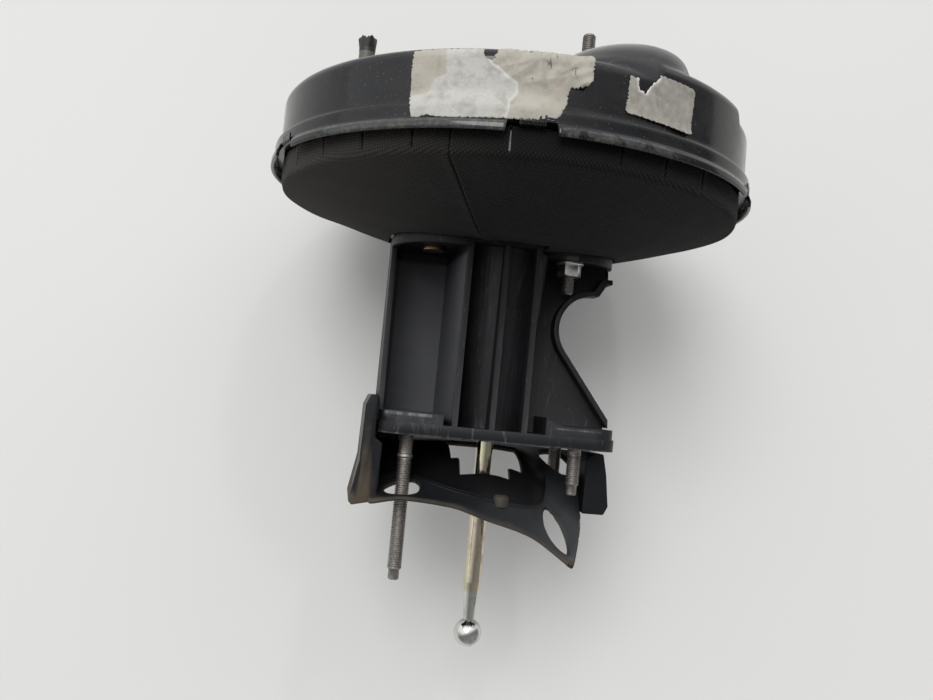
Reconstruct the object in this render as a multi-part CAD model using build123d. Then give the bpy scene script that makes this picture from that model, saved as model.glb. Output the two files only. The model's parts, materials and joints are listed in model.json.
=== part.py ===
"""Vacuum brake booster with a moulded spacer, tie bolts, bulkhead studs and a ball-ended input rod.

Millimetres. Y runs along the booster: the input rod points to -Y and the master cylinder seat to +Y.
The origin is the centre of the spacer's bulkhead face. +Z is up, +X is to the right.
"""
import math
import os

from build123d import *

# ---------------------------------------------------------------- driving dimensions
# Spacer between the bulkhead and the booster.
SPACER_LENGTH = 112.0
FLANGE_LEFT = 64.5
FLANGE_RIGHT = 69.0
FLANGE_HALF_HEIGHT = 36.0
FLANGE_CORNER = 14.0
FLANGE_THICKNESS = 6.5
LUG_THICKNESS = 4.0
LUG_RIM_HEIGHT = 6.5
SPACER_WALL = 2.8
RIB_THICKNESS = 3.2
RIB_REACH = 33.0
BAY_RIBS_X = (-2.5, 15.5)
BAY_WALL_X = -23.0
BAY_WALL_LEAN = 4.2
TUBE_RADIUS_FRONT = 24.5
TUBE_RADIUS_REAR = 17.0
LUG_RADIUS = 25.0
LEDGE_HEIGHT = 12.0
LEDGE_INSET = 1.0
LEFT_LEDGE_END = -29.5
RIGHT_LEDGE_START = 27.0
LEDGE_UPTURN = 4.0
LEDGE_UPTURN_LENGTH = 12.0

# Concave cut-out in the right-hand web of the spacer, and the lip along it.
SCOOP_X = 59.0
SCOOP_DROP = 40.0
SCOOP_RADIUS = 22.0
SCOOP_SLOPE = 54.0
SCOOP_LIP_DEPTH = 10.0
WEB_Z_REAR = 4.0
WEB_Z_FRONT = -14.0

# Studs in the bulkhead flange.
STUD_RADIUS = 4.0
STUD_KNURL_RADIUS = 4.4
STUD_X = 47.3
STUD_Z = 22.7
LONG_STUD_REACH = 79.0
SHORT_STUD_REACH = 26.0
DOG_POINT_RADIUS = 3.0
DOG_POINT_LENGTH = 5.5
STUD_HEAD_RADIUS = 7.0
STUD_HEAD_THICKNESS = 2.5

# Tie bolts through the whole booster, with their nuts and washers.
TIE_BOLT_RADIUS = 4.0
TIE_SHANK_RADIUS = 4.5
TIE_BOLT_X = 40.5
TIE_BOLT_REAR_REACH = 19.1
LEFT_TIE_FRONT_REACH = 15.5
RIGHT_TIE_FRONT_REACH = 40.5
TIE_COLLAR_RADIUS = 10.0
TIE_COLLAR_THICKNESS = 1.9
TIE_HEX_RADIUS = 6.8
TIE_HEX_THICKNESS = 3.0
NUT_ACROSS_FLATS = 13.0
NUT_HEIGHT = 7.0
WASHER_RADIUS = 8.3
WASHER_THICKNESS = 1.6
CAP_RADIUS = 6.9
CAP_THICKNESS = 2.4
CAP_SKIN = 1.0
BOLT_CLEARANCE = 0.4
SHOULDER_CLEARANCE = 0.1

# Pressed steel shells.
SHEET = 1.5
REAR_SHELL_DEPTH = 28.3
REAR_FLAT_RADIUS = 62.0
REAR_FLANGE_WIDTH = 6.3
CONE_RISE = 20.3
NECK_OUTER_RADIUS = 21.5
NECK_LENGTH = 15.0
FRONT_SHELL_DEPTH = 39.7
SKIRT_RADIUS = 135.5
SKIRT_STEP = 3.0
RIM_FLARE = 1.5
RIM_FLARE_LENGTH = 4.2
SHELL_CORNER = 6.0
CRIMP_DEPTH = 5.7
BEAD_THICKNESS = 4.0
SEAT_RISE = 26.0
SEAT_RADIUS = 52.0
SEAT_FOOT_RADIUS = 70.0
SPIGOT_RADIUS = 23.0
SPIGOT_DEPTH = 8.0

# Lanced tabs that hold the rear shell in the front one: three, and the same three half a turn on.
LANCE_ANGLES = (-69.0, -6.0, 60.0)
LANCE_NOTCH_WIDTH = 23.0
LANCE_TAB_WIDTH = 12.0

# Dome and shoulder pressed out of the front shell.
DOME_TURN = 21.2
DOME_EDGE_GAP = 1.5
DOME_HALF_WIDTH = 37.7
DOME_HEIGHT = 25.2
DOME_DRIFT_X = 12.4
DOME_DRIFT_Z = -7.7
SHOULDER_START = 20.0
SHOULDER_SWEEP = 31.0
SHOULDER_RISE = 6.5
SHOULDER_WIDTH = 36.5

# Sound-deadening mat on the rear shell.
MAT_THICKNESS = 2.6
MAT_SIDE_LENGTH = 12.0
MAT_SEAM_ANGLE = -22.0
MAT_HOLE_GAP = 1.0

# Power piston: valve body, plate and diaphragm.
PISTON_TRAVEL = 30.0
NECK_RADIUS = 17.0
VALVE_BORE_RADIUS = 13.5
VALVE_NECK_LENGTH = 53.5
HUB_RADIUS = 26.0
HUB_LENGTH = 10.5
NOSE_RADIUS = 15.5
NOSE_LENGTH = 18.0
PISTON_GAP = 6.0
PLATE_RIM_GAP = 12.3
PLATE_RIM_HEIGHT = 11.0
DIAPHRAGM_THICKNESS = 1.8
REACTION_BORE_RADIUS = 12.0
REACTION_DISC_THICKNESS = 5.0
OUTPUT_ROD_RADIUS = 5.5
OUTPUT_ROD_LENGTH = 47.0
OUTPUT_TIP_RADIUS = 3.0
SEAL_SQUEEZE = 0.05
NECK_SEAL_LENGTH = 10.0
NECK_RETAINER_THICKNESS = 2.0
TIE_SEAL_WALL = 3.5
TIE_SEAL_END_GAP = 0.3
TIE_SEAL_FRONT_REACH = 3.0

# Control valve: plunger, key, poppet, springs and filter.
PLUNGER_RADIUS = 7.0
PLUNGER_HEAD_RADIUS = 9.5
PLUNGER_TRAVEL = 1.5
KEY_THICKNESS = 2.5
KEY_WIDTH = 15.0
GROOVE_RADIUS = 4.5
POPPET_TRAVEL = 0.6
POPPET_THICKNESS = 2.0
POPPET_LENGTH = 9.7
SEAT_LIP_RADIUS = 11.4
RUNNING_CLEARANCE = 0.05
LOOSE_CLEARANCE = 0.25

# Input rod with a pivot ball in the plunger and a ball at the pedal end.
ROD_RADIUS = 4.9
ROD_PIVOT_BALL_RADIUS = 5.0
ROD_NECK_RADIUS = 3.1
PEDAL_BALL_RADIUS = 8.0
PEDAL_BALL_REACH = 110.7
ROD_TAPER_LENGTH = 22.0
BALL_SEAT_WALL = 1.25

# Rubber bulkhead gasket, slipped down the studs and warped. Each row gives its z, and y at the x places.
GASKET_THICKNESS = 3.0
GASKET_HOLE_RADIUS = 9.5
GASKET_FAR_LEFT_HOLE_RADIUS = 6.5
GASKET_NEAR_RIGHT_HOLE_RADIUS = 7.5
GASKET_HOLE_SHIFT = 7.0
GASKET_ROD_HOLE_REACH = 20.0
GASKET_ROD_HOLE_HALF_HEIGHT = 18.0
GASKET_ROD_HOLE_LEFT_STEP = 8.7
GASKET_ROD_HOLE_RIGHT_STEP = 12.3
GASKET_ROD_HOLE_SIDES = (-15.3, 12.2)
GASKET_SAG_ROOM = 100.0
GASKET_X = (-66.0, -47.0, -22.0, 0.0, 22.0, 42.0, 63.0)
GASKET_ROWS = (
    (-36.0, (-3.2, -3.1, -3.1, -3.1, -3.1, -3.2, -3.6)),
    (-14.0, (-7.5, -5.8, -3.6, -3.5, -5.2, -12.5, -22.0)),
    (-2.0, (-19.0, -14.5, -6.3, -5.2, -8.2, -21.0, -37.0)),
    (8.0, (-27.5, -23.0, -11.0, -9.3, -12.5, -30.0, -49.0)),
    (17.0, (-30.5, -27.5, -19.0, -16.5, -21.5, -42.0, -62.0)),
    (26.0, (-32.5, -30.2, -27.0, -26.0, -33.0, -52.5, -70.0)),
    (36.0, (-36.0, -32.5, -34.5, -41.0, -47.0, -58.5, -75.0)),
)
GASKET_OUTLINE = ((-66.0, -36.0), (62.0, -36.0), (61.0, 2.0), (48.5, 36.0), (-66.0, 36.0))
GASKET_LEFT_WALL = (
    (-69.0, 20.0), (-71.5, 14.0), (-72.0, -16.0), (-76.0, -38.0), (-74.0, -40.0), (-61.0, -37.0), (-60.5, -6.0),
)
GASKET_RIGHT_WALL = (
    (70.5, -2.4), (73.0, -15.0), (75.5, -33.0), (73.0, -38.0), (60.0, -38.0), (60.0, -6.0), (64.0, -2.4),
)
GASKET_WALL_TOP = 20.0
GASKET_WALL_HALF_WIDTH = 30.0
GASKET_RIGHT_WALL_NEAR_Z = 4.0
GASKET_FACE_GAP = 2.6

# Vacuum check valve in the front shell.
VALVE_TURN = -71.565
VALVE_INSET = 37.632
GROMMET_RADIUS = 12.5
GROMMET_WAIST_RADIUS = 9.0
GROMMET_BORE_RADIUS = 7.0
VALVE_CAP_RADIUS = 11.0
NIPPLE_RADIUS = 4.3
NIPPLE_BORE_RADIUS = 2.6
NIPPLE_REACH = 32.0
CHECK_DISC_TRAVEL = 1.5

# ---------------------------------------------------------------- radii and places that follow from them
SHELL_WALL_RADIUS = SKIRT_RADIUS - SKIRT_STEP
RIM_RADIUS = SKIRT_RADIUS + RIM_FLARE
REAR_WALL_RADIUS = SKIRT_RADIUS - SHEET - BOLT_CLEARANCE - REAR_FLANGE_WIDTH
PLATE_RADIUS = REAR_WALL_RADIUS - PLATE_RIM_GAP
DOME_PLACE = SHELL_WALL_RADIUS - DOME_EDGE_GAP - DOME_HALF_WIDTH
DOME_X = DOME_PLACE * math.sin(math.radians(DOME_TURN))
DOME_Z = DOME_PLACE * math.cos(math.radians(DOME_TURN))
VALVE_X = (SHELL_WALL_RADIUS - VALVE_INSET) * math.sin(math.radians(VALVE_TURN))
VALVE_Z = (SHELL_WALL_RADIUS - VALVE_INSET) * math.cos(math.radians(VALVE_TURN))

# ---------------------------------------------------------------- stations along Y
LUG_FACE = SPACER_LENGTH - LUG_THICKNESS
SCOOP_Y = LUG_FACE - SCOOP_DROP
REAR_FLAT = SPACER_LENGTH
REAR_INNER = REAR_FLAT + SHEET
RIM_Y = REAR_FLAT + REAR_SHELL_DEPTH
CRIMP_Y = RIM_Y + CRIMP_DEPTH
BEAD_Y = CRIMP_Y + SHEET
STEP_Y = BEAD_Y + BEAD_THICKNESS
FACE_Y = RIM_Y + FRONT_SHELL_DEPTH
SEAT_Y = FACE_Y + SEAT_RISE
SEAT_INNER = SEAT_Y - SHEET
NECK_END = REAR_FLAT - NECK_LENGTH
CONE_SLOPE = CONE_RISE / (REAR_WALL_RADIUS - REAR_FLAT_RADIUS)
HUB_Y = REAR_INNER + PISTON_GAP
HUB_FRONT = HUB_Y + HUB_LENGTH
NOSE_FRONT = HUB_FRONT + NOSE_LENGTH
VALVE_REAR = HUB_Y - VALVE_NECK_LENGTH
BORE_END = HUB_Y - 1.0
REACTION_Y = HUB_FRONT + 4.0
PIVOT_Y = HUB_Y - 5.5
POPPET_FACE = PIVOT_Y - 7.0
PEDAL_BALL_Y = -PEDAL_BALL_REACH

OUT = "parts"


# ---------------------------------------------------------------- helpers
def turned(points):
    """Solid of revolution about Y from a closed outline of (radius, y) points."""
    return revolve(make_face(Polyline(*points, close=True)), Axis.Y)


def ring(inner, outer, y0, y1):
    """Plain ring, or a disc where the inner radius is 0."""
    return turned([(inner, y0), (outer, y0), (outer, y1), (inner, y1)])


def skin(points, corner, thickness):
    """Turned sheet of even thickness whose middle line is a filleted polyline of (radius, y)."""
    return revolve(trace(FilletPolyline(*points, radius=corner), thickness), Axis.Y)


def plate(outline, y0, y1):
    """Plate square to Y between two stations; the outline is a sketch in (x, z)."""
    return extrude(Plane.XZ.offset(-y1) * outline, y1 - y0)


def block(x0, x1, y0, y1, z0, z1):
    """Box between two corners."""
    centre = ((x0 + x1) / 2, (y0 + y1) / 2, (z0 + z1) / 2)
    return Pos(*centre) * Box(abs(x1 - x0), abs(y1 - y0), abs(z1 - z0))


def at(x, z, shape):
    """Move a shape that is built on the Y axis to another axis parallel to it."""
    return Pos(x, 0, z) * shape


def polygon(points):
    """Face with straight sides."""
    return make_face(Polyline(*points, close=True))


def coil(mean_radius, wire_radius, y0, y1, turns):
    """Round-wire compression spring about Y that fills the room between two seats."""
    height = y1 - y0 - 2 * wire_radius
    path = Pos(0, y0 + wire_radius, 0) * Helix(height / turns, height, mean_radius, direction=(0, 1, 0))
    return sweep(Plane(path @ 0, z_dir=path % 0) * Circle(wire_radius), path=path)


def dish(base, offset, outer):
    """Flat and cone like the rear shell's, as two (radius, y) points: where the flat ends, and the outer end.

    base is the station of the reference flat, and offset the sheet's distance in front of it, square to it.
    """
    slant = math.hypot(1, CONE_SLOPE)
    foot = REAR_FLAT_RADIUS - offset * (slant - 1) / CONE_SLOPE
    return [(foot, base + offset), (outer, base + CONE_SLOPE * (outer - REAR_FLAT_RADIUS) + offset * slant)]


def around(angle, shape):
    """Turn a shape about Y; the angle runs from +Z towards +X."""
    return Rot(0, angle, 0) * shape


# ---------------------------------------------------------------- spacer
def lug_outline(grow=0.0):
    """Top plate of the spacer: a round left lobe, a middle strip and a round right lug."""
    edge = FLANGE_HALF_HEIGHT + grow
    left = -FLANGE_LEFT - grow
    centre = left + edge
    bevel = LUG_RADIUS / 4
    halfway = (centre - edge * math.sqrt(0.5), edge * math.sqrt(0.5))
    lobe = make_face([
        ThreePointArc((left, 0), halfway, (centre, edge)),
        Polyline(
            (centre, edge), (BAY_WALL_X, edge), (BAY_WALL_X, -edge), (left + bevel, -edge),
            (left, bevel - edge), (left, 0),
        ),
    ])
    middle = Pos((BAY_WALL_X + BAY_RIBS_X[1]) / 2, 0) * Rectangle(
        BAY_RIBS_X[1] - BAY_WALL_X + RIB_THICKNESS, 2 * edge
    )
    right = Pos(TIE_BOLT_X, 0) * Circle(LUG_RADIUS + grow)
    reach = TIE_BOLT_X + LUG_RADIUS + grow
    back = polygon([(0, -edge), (reach - 8, -edge), (reach, -edge + 8), (reach, 0), (0, 0)])
    return lobe + middle + right + back


def scoop(radius):
    """Side view (x, y) of the room that the scoop takes out of the right-hand web."""
    lean = math.radians(SCOOP_SLOPE)
    touch_x = SCOOP_X - radius * math.sin(lean)
    touch_y = SCOOP_Y - radius * math.cos(lean)
    far_x = FLANGE_RIGHT + 30
    far_y = touch_y - (far_x - touch_x) * math.tan(lean)
    lug_x = TIE_BOLT_X + LUG_RADIUS - (radius - SCOOP_RADIUS)
    top = SCOOP_Y + radius
    tail = polygon([
        (SCOOP_X, top), (lug_x - 5, top), (lug_x, top + 8), (far_x, top + 8),
        (far_x, far_y), (touch_x, touch_y), (SCOOP_X, SCOOP_Y),
    ])
    return Pos(SCOOP_X, SCOOP_Y) * Circle(radius) + tail


def leaning_slab(front_gap, depth):
    """Slab that leans back towards the booster, as the right-hand web does; depth is along Z."""
    low = WEB_Z_REAR + front_gap
    high = WEB_Z_FRONT + front_gap
    side = polygon([(0, low), (SPACER_LENGTH, high), (SPACER_LENGTH, high + depth), (0, low + depth)])
    return extrude(Plane.YZ.offset(BAY_RIBS_X[1]) * side, FLANGE_RIGHT - BAY_RIBS_X[1])


def right_web():
    """Leaning web with the scooped edge and the lip along that edge."""
    room = FLANGE_THICKNESS / 2
    body = polygon([
        (BAY_RIBS_X[1], room), (FLANGE_RIGHT - 0.5, room),
        (FLANGE_RIGHT - 0.5, SPACER_LENGTH - room), (BAY_RIBS_X[1], SPACER_LENGTH - room),
    ])
    reach = 2 * FLANGE_HALF_HEIGHT
    web = extrude(Plane.XY.offset(-reach / 2) * (body - scoop(SCOOP_RADIUS)), reach)
    lip_face = (scoop(SCOOP_RADIUS + SPACER_WALL) - scoop(SCOOP_RADIUS)) & body
    lip = extrude(Plane.XY.offset(-reach / 2) * lip_face, reach)
    return (web & leaning_slab(-SPACER_WALL, SPACER_WALL)) + (lip & leaning_slab(0, SCOOP_LIP_DEPTH))


def ledge_sides():
    """Side views (x, y) of the left and the right ledge."""
    low = FLANGE_THICKNESS / 2
    top = LEDGE_HEIGHT
    left = polygon([(-FLANGE_LEFT, low), (LEFT_LEDGE_END, low), (LEFT_LEDGE_END, top), (-FLANGE_LEFT, top)])
    start = RIGHT_LEDGE_START
    end = start + LEDGE_UPTURN_LENGTH
    sag = (start + LEDGE_UPTURN_LENGTH * 0.45, top + LEDGE_UPTURN * 0.25)
    right = make_face([
        ThreePointArc((start, top + LEDGE_UPTURN), sag, (end, top)),
        Polyline((end, top), (FLANGE_RIGHT, top), (FLANGE_RIGHT, low), (start, low), (start, top + LEDGE_UPTURN)),
    ])
    return left, right


def lug_rim():
    """Low rim along the front edges of the left lobe and the right lug, as a sketch in (x, z)."""
    band = lug_outline() - lug_outline(-SPACER_WALL)
    reach = FLANGE_HALF_HEIGHT
    left = Pos((BAY_WALL_X - FLANGE_LEFT) / 2 - 1, reach / 2) * Rectangle(FLANGE_LEFT + BAY_WALL_X, reach)
    right = Pos(TIE_BOLT_X + LUG_RADIUS / 2, reach / 2) * Rectangle(LUG_RADIUS, reach)
    return band & (left + right)


def spacer():
    """Moulded spacer: two end plates, a tapered tube, ribs, a closed left bay and a scooped web."""
    half = FLANGE_HALF_HEIGHT
    middle = (FLANGE_RIGHT - FLANGE_LEFT) / 2
    base = Pos(middle, 0) * RectangleRounded(FLANGE_LEFT + FLANGE_RIGHT, 2 * half, FLANGE_CORNER)
    body = plate(base, 0, FLANGE_THICKNESS) + plate(lug_outline(), LUG_FACE, SPACER_LENGTH)
    body += plate(lug_rim(), SPACER_LENGTH - LUG_RIM_HEIGHT, LUG_FACE)
    wall = SPACER_WALL
    body += turned([
        (TUBE_RADIUS_REAR, 0), (TUBE_RADIUS_REAR + wall, 0),
        (TUBE_RADIUS_FRONT + wall, SPACER_LENGTH), (TUBE_RADIUS_FRONT, SPACER_LENGTH),
    ])
    # Left bay: leaning inner wall, back panel and outer wall with a slanted front edge.
    inner = polygon([
        (BAY_WALL_X - RIB_THICKNESS / 2, RIB_REACH), (BAY_WALL_X + RIB_THICKNESS / 2, RIB_REACH),
        (BAY_WALL_X + RIB_THICKNESS / 2 - BAY_WALL_LEAN, -half),
        (BAY_WALL_X - RIB_THICKNESS / 2 - BAY_WALL_LEAN, -half),
    ])
    body += plate(inner, FLANGE_THICKNESS / 2, SPACER_LENGTH)
    panel_edge = FLANGE_LEFT - FLANGE_CORNER / 2
    body += block(-panel_edge, BAY_WALL_X - BAY_WALL_LEAN, 0, SPACER_LENGTH, -half, -half + wall)
    outer = polygon([
        (0, half - FLANGE_CORNER), (LUG_FACE + 1, -1), (LUG_FACE + 1, -half + FLANGE_CORNER / 2),
        (0, -half + FLANGE_CORNER / 2),
    ])
    body += extrude(Plane.YZ.offset(-FLANGE_LEFT) * outer, wall)
    corner = polygon([
        (-FLANGE_LEFT, -half + FLANGE_CORNER / 2), (-panel_edge, -half),
        (-panel_edge, -half + wall), (-FLANGE_LEFT + wall, -half + FLANGE_CORNER / 2),
    ])
    body += plate(corner, 0, SPACER_LENGTH)
    # Ribs in front of and behind the tube.
    for x in BAY_RIBS_X:
        rib = (Pos(x, 0) * Rectangle(RIB_THICKNESS, half + RIB_REACH))
        rib = Pos(0, (RIB_REACH - half) / 2) * rib
        body += plate(rib, FLANGE_THICKNESS / 2, SPACER_LENGTH)
    body += right_web()
    # Ledges that hold the stud heads; the right one turns up towards the ribs.
    for side in ledge_sides():
        ledge = extrude(Plane.XY.offset(-half) * side, 2 * half)
        body += ledge & plate(offset(base, -LEDGE_INSET), 0, half)
    # Room inside the tube, the stud seats and the tie bolt holes.
    body -= turned([
        (0, -1), (TUBE_RADIUS_REAR, -1), (TUBE_RADIUS_REAR, 0),
        (TUBE_RADIUS_FRONT, SPACER_LENGTH), (TUBE_RADIUS_FRONT, SPACER_LENGTH + 1), (0, SPACER_LENGTH + 1),
    ])
    head = FLANGE_THICKNESS
    for x, z in stud_places():
        body -= at(x, z, ring(0, STUD_KNURL_RADIUS, -1, head + STUD_HEAD_THICKNESS))
        body -= at(x, z, ring(0, STUD_HEAD_RADIUS, head, head + STUD_HEAD_THICKNESS))
    for x in (-TIE_BOLT_X, TIE_BOLT_X):
        body -= at(x, 0, ring(0, TIE_BOLT_RADIUS + BOLT_CLEARANCE, LUG_FACE - 1, SPACER_LENGTH + 1))
    return body


# ---------------------------------------------------------------- studs, bolts, nuts
def stud_places():
    """Axes of the four bulkhead studs in (x, z); the first is the long one."""
    return [(-STUD_X, STUD_Z), (STUD_X, STUD_Z), (STUD_X, -STUD_Z), (-STUD_X, -STUD_Z)]


def stud(reach):
    """Stud with a knurled root and a flat head inside the flange, and a dog point at its end."""
    head = FLANGE_THICKNESS
    shoulder = -reach + DOG_POINT_LENGTH
    chamfer = STUD_RADIUS - DOG_POINT_RADIUS
    return turned([
        (0, -reach), (DOG_POINT_RADIUS, -reach), (DOG_POINT_RADIUS, shoulder),
        (STUD_RADIUS, shoulder + chamfer), (STUD_RADIUS, 0), (STUD_KNURL_RADIUS, 0),
        (STUD_KNURL_RADIUS, head), (STUD_HEAD_RADIUS, head),
        (STUD_HEAD_RADIUS, head + STUD_HEAD_THICKNESS), (0, head + STUD_HEAD_THICKNESS),
    ])


def tie_bolt(rear, front_reach):
    """Through bolt: a round collar inside the rear shell, and a hexagon and a shoulder at the front one."""
    radius = TIE_BOLT_RADIUS
    front = SEAT_Y + front_reach
    shoulder = radius + BOLT_CLEARANCE - SHOULDER_CLEARANCE
    collar = REAR_INNER + TIE_COLLAR_THICKNESS
    bolt = turned([
        (0, front), (radius - 1, front), (radius, front - 1), (radius, SEAT_Y), (shoulder, SEAT_Y),
        (shoulder, SEAT_INNER), (TIE_SHANK_RADIUS, SEAT_INNER), (TIE_SHANK_RADIUS, collar),
        (TIE_COLLAR_RADIUS, collar), (TIE_COLLAR_RADIUS, REAR_INNER), (radius, REAR_INNER),
        (radius, rear + 1), (radius - 1, rear), (0, rear),
    ])
    return bolt + plate(RegularPolygon(TIE_HEX_RADIUS, 6), SEAT_INNER - TIE_HEX_THICKNESS, SEAT_INNER)


def nut():
    """Hexagon nut below the washer, with chamfered corners."""
    top = LUG_FACE - WASHER_THICKNESS
    corner = NUT_ACROSS_FLATS / math.sqrt(3)
    body = plate(RegularPolygon(corner, 6), top - NUT_HEIGHT, top)
    low = top - NUT_HEIGHT
    body &= turned([
        (0, low), (corner - 1, low), (corner, low + 0.7), (corner, top), (0, top),
    ])
    return body - ring(0, TIE_BOLT_RADIUS, low - 1, top + 1)


def cap_nut():
    """Flat round cap nut, closed below, that holds the left bolt's short end."""
    low = LUG_FACE - CAP_THICKNESS
    return turned([
        (0, low), (CAP_RADIUS, low), (CAP_RADIUS, LUG_FACE), (TIE_BOLT_RADIUS, LUG_FACE),
        (TIE_BOLT_RADIUS, low + CAP_SKIN), (0, low + CAP_SKIN),
    ])


def washer():
    """Flat washer under the hexagon nut."""
    return ring(TIE_BOLT_RADIUS + BOLT_CLEARANCE, WASHER_RADIUS, LUG_FACE - WASHER_THICKNESS, LUG_FACE)


# ---------------------------------------------------------------- shells
def rear_shell():
    """Shallow cone with a central neck tube and a flange that the front shell crimps over."""
    mid = SHEET / 2
    wall = REAR_WALL_RADIUS - mid
    shell = skin([
        (NECK_OUTER_RADIUS - mid, NECK_END), (NECK_OUTER_RADIUS - mid, REAR_FLAT + mid),
        *dish(REAR_FLAT, mid, wall),
        (wall, CRIMP_Y + mid), (SKIRT_RADIUS - SHEET - BOLT_CLEARANCE, CRIMP_Y + mid),
    ], 1.5, SHEET)
    for x in (-TIE_BOLT_X, TIE_BOLT_X):
        shell -= at(x, 0, ring(0, TIE_BOLT_RADIUS + BOLT_CLEARANCE, REAR_FLAT - 1, REAR_INNER + 1))
    return shell


def dome_form(inset):
    """Lopsided dome on the front face, as a loft of ellipses; inset gives its inner form."""
    base = FACE_Y - SHEET
    peak = DOME_HEIGHT - inset
    stations = ((0.0, 0.0, 1.0), (0.45, 0.33, 0.90), (0.80, 0.73, 0.68), (0.96, 0.93, 0.38), (1.0, 1.0, 0.10))
    sections = []
    for rise, drift, share in stations:
        half = DOME_HALF_WIDTH * share - inset * min(1, 2 * share)
        middle = Pos(DOME_X + drift * DOME_DRIFT_X, DOME_Z + drift * DOME_DRIFT_Z)
        sections.append(Plane.XZ.offset(-base - rise * (peak + SHEET)) * middle * Circle(half))
    return loft(sections)


def shoulder_form(inset):
    """Raised part of the front face between the dome and the right-hand side."""
    low = FACE_Y - SHEET
    high = FACE_Y + SHOULDER_RISE - inset
    inner = SHELL_WALL_RADIUS - SHOULDER_WIDTH + inset
    outer = SHELL_WALL_RADIUS - inset
    section = polygon([
        (inner, low), (inner, high), (outer - SHELL_CORNER / 2, high), (outer, high - SHELL_CORNER / 2), (outer, low),
    ])
    margin = math.degrees(inset / outer)
    body = revolve(section, Axis.Y, revolution_arc=SHOULDER_SWEEP - 2 * margin)
    return around(SHOULDER_START + margin - 90, body)


def lanced_tab():
    """One tab of the rim, bent in under the rear shell's flange, at the +Z side."""
    half = LANCE_TAB_WIDTH / 2
    low = CRIMP_Y - SHEET
    inner = REAR_WALL_RADIUS + MAT_THICKNESS + 0.5
    tongue = block(-half, half, low, CRIMP_Y, inner, SKIRT_RADIUS - SHEET / 2)
    band = block(-half, half, low, CRIMP_Y + 1, SKIRT_RADIUS - SHEET, SKIRT_RADIUS)
    return tongue + band


def front_shell():
    """Deep pressed shell: seat, face, wall, stepped skirt and rim, with its dome and shoulder."""
    mid = SHEET / 2
    shell = skin([
        (SPIGOT_RADIUS + mid, SEAT_Y - SPIGOT_DEPTH), (SPIGOT_RADIUS + mid, SEAT_Y - mid),
        (SEAT_RADIUS, SEAT_Y - mid), (SEAT_FOOT_RADIUS, FACE_Y - mid),
        (SHELL_WALL_RADIUS - mid, FACE_Y - mid), (SHELL_WALL_RADIUS - mid, STEP_Y + mid),
        (SKIRT_RADIUS - mid, STEP_Y + mid), (SKIRT_RADIUS - mid, RIM_Y + RIM_FLARE_LENGTH + 1),
        (RIM_RADIUS - mid, RIM_Y + RIM_FLARE_LENGTH - 1), (RIM_RADIUS - mid, RIM_Y),
    ], 1.1, SHEET)
    forms = shoulder_form(0) + dome_form(0)
    rooms = shoulder_form(SHEET) + dome_form(SHEET)
    shell = shell - forms + (forms - rooms)
    half = LANCE_NOTCH_WIDTH / 2
    notch = block(-half, half, RIM_Y - 1, CRIMP_Y, SHELL_WALL_RADIUS - 2, RIM_RADIUS + 2)
    for turn in (0, 180):
        for angle in LANCE_ANGLES:
            shell = shell - around(angle + turn, notch) + around(angle + turn, lanced_tab())
    for x in (-TIE_BOLT_X, TIE_BOLT_X):
        shell -= at(x, 0, ring(0, TIE_BOLT_RADIUS + BOLT_CLEARANCE, SEAT_INNER - 1, SEAT_Y + 1))
    return shell - at(VALVE_X, VALVE_Z, ring(0, GROMMET_WAIST_RADIUS, FACE_Y - 4, FACE_Y + 2))


def rear_mats():
    """Two halves of the woven mat that covers the rear flat and cone and wraps up the side."""
    mid = MAT_THICKNESS / 2
    foot, corner = dish(REAR_FLAT, -mid, REAR_WALL_RADIUS + mid)
    mat = skin([
        (NECK_OUTER_RADIUS, foot[1]), foot, corner, (corner[0], corner[1] + MAT_SIDE_LENGTH),
    ], 2.0, MAT_THICKNESS)
    tube = Circle(TUBE_RADIUS_FRONT + SPACER_WALL + MAT_HOLE_GAP)
    mat -= plate(lug_outline(MAT_HOLE_GAP) + tube, 0, REAR_FLAT + 1)
    reach = RIM_RADIUS + 5
    side = around(MAT_SEAM_ANGLE, block(0, reach, 0, FACE_Y, -reach, reach))
    return mat - side, mat & side


# ---------------------------------------------------------------- seals and boot in the neck
def neck_seal():
    """Ring seal that the valve body slides in."""
    start = NECK_END + NECK_RETAINER_THICKNESS
    return ring(NECK_RADIUS + SEAL_SQUEEZE, NECK_OUTER_RADIUS - SHEET, start, start + NECK_SEAL_LENGTH)


def neck_seal_retainer():
    """Thin ring that holds the seal in the neck."""
    return ring(NECK_RADIUS + 0.6, NECK_OUTER_RADIUS - SHEET, NECK_END, NECK_END + NECK_RETAINER_THICKNESS)


def dust_boot():
    """Bellows over the rear end of the valve body, clipped on the rear shell's neck."""
    wall = 1.2
    top = NECK_OUTER_RADIUS + wall / 2
    valley = NECK_RADIUS + 1.3
    peak = valley + 1.9
    end = VALVE_REAR - 4
    points = [(top, NECK_END + 8), (top, NECK_END - 1)]
    folds = 4
    pitch = (NECK_END - 4 - VALVE_REAR - 4) / folds
    for k in range(folds):
        y = NECK_END - 4 - k * pitch
        points += [(valley, y), (peak, y - pitch / 2)]
    points += [(valley, VALVE_REAR + 3), (valley, end), (ROD_RADIUS + 5.6, end)]
    return skin(points, 0.9, wall)


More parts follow.
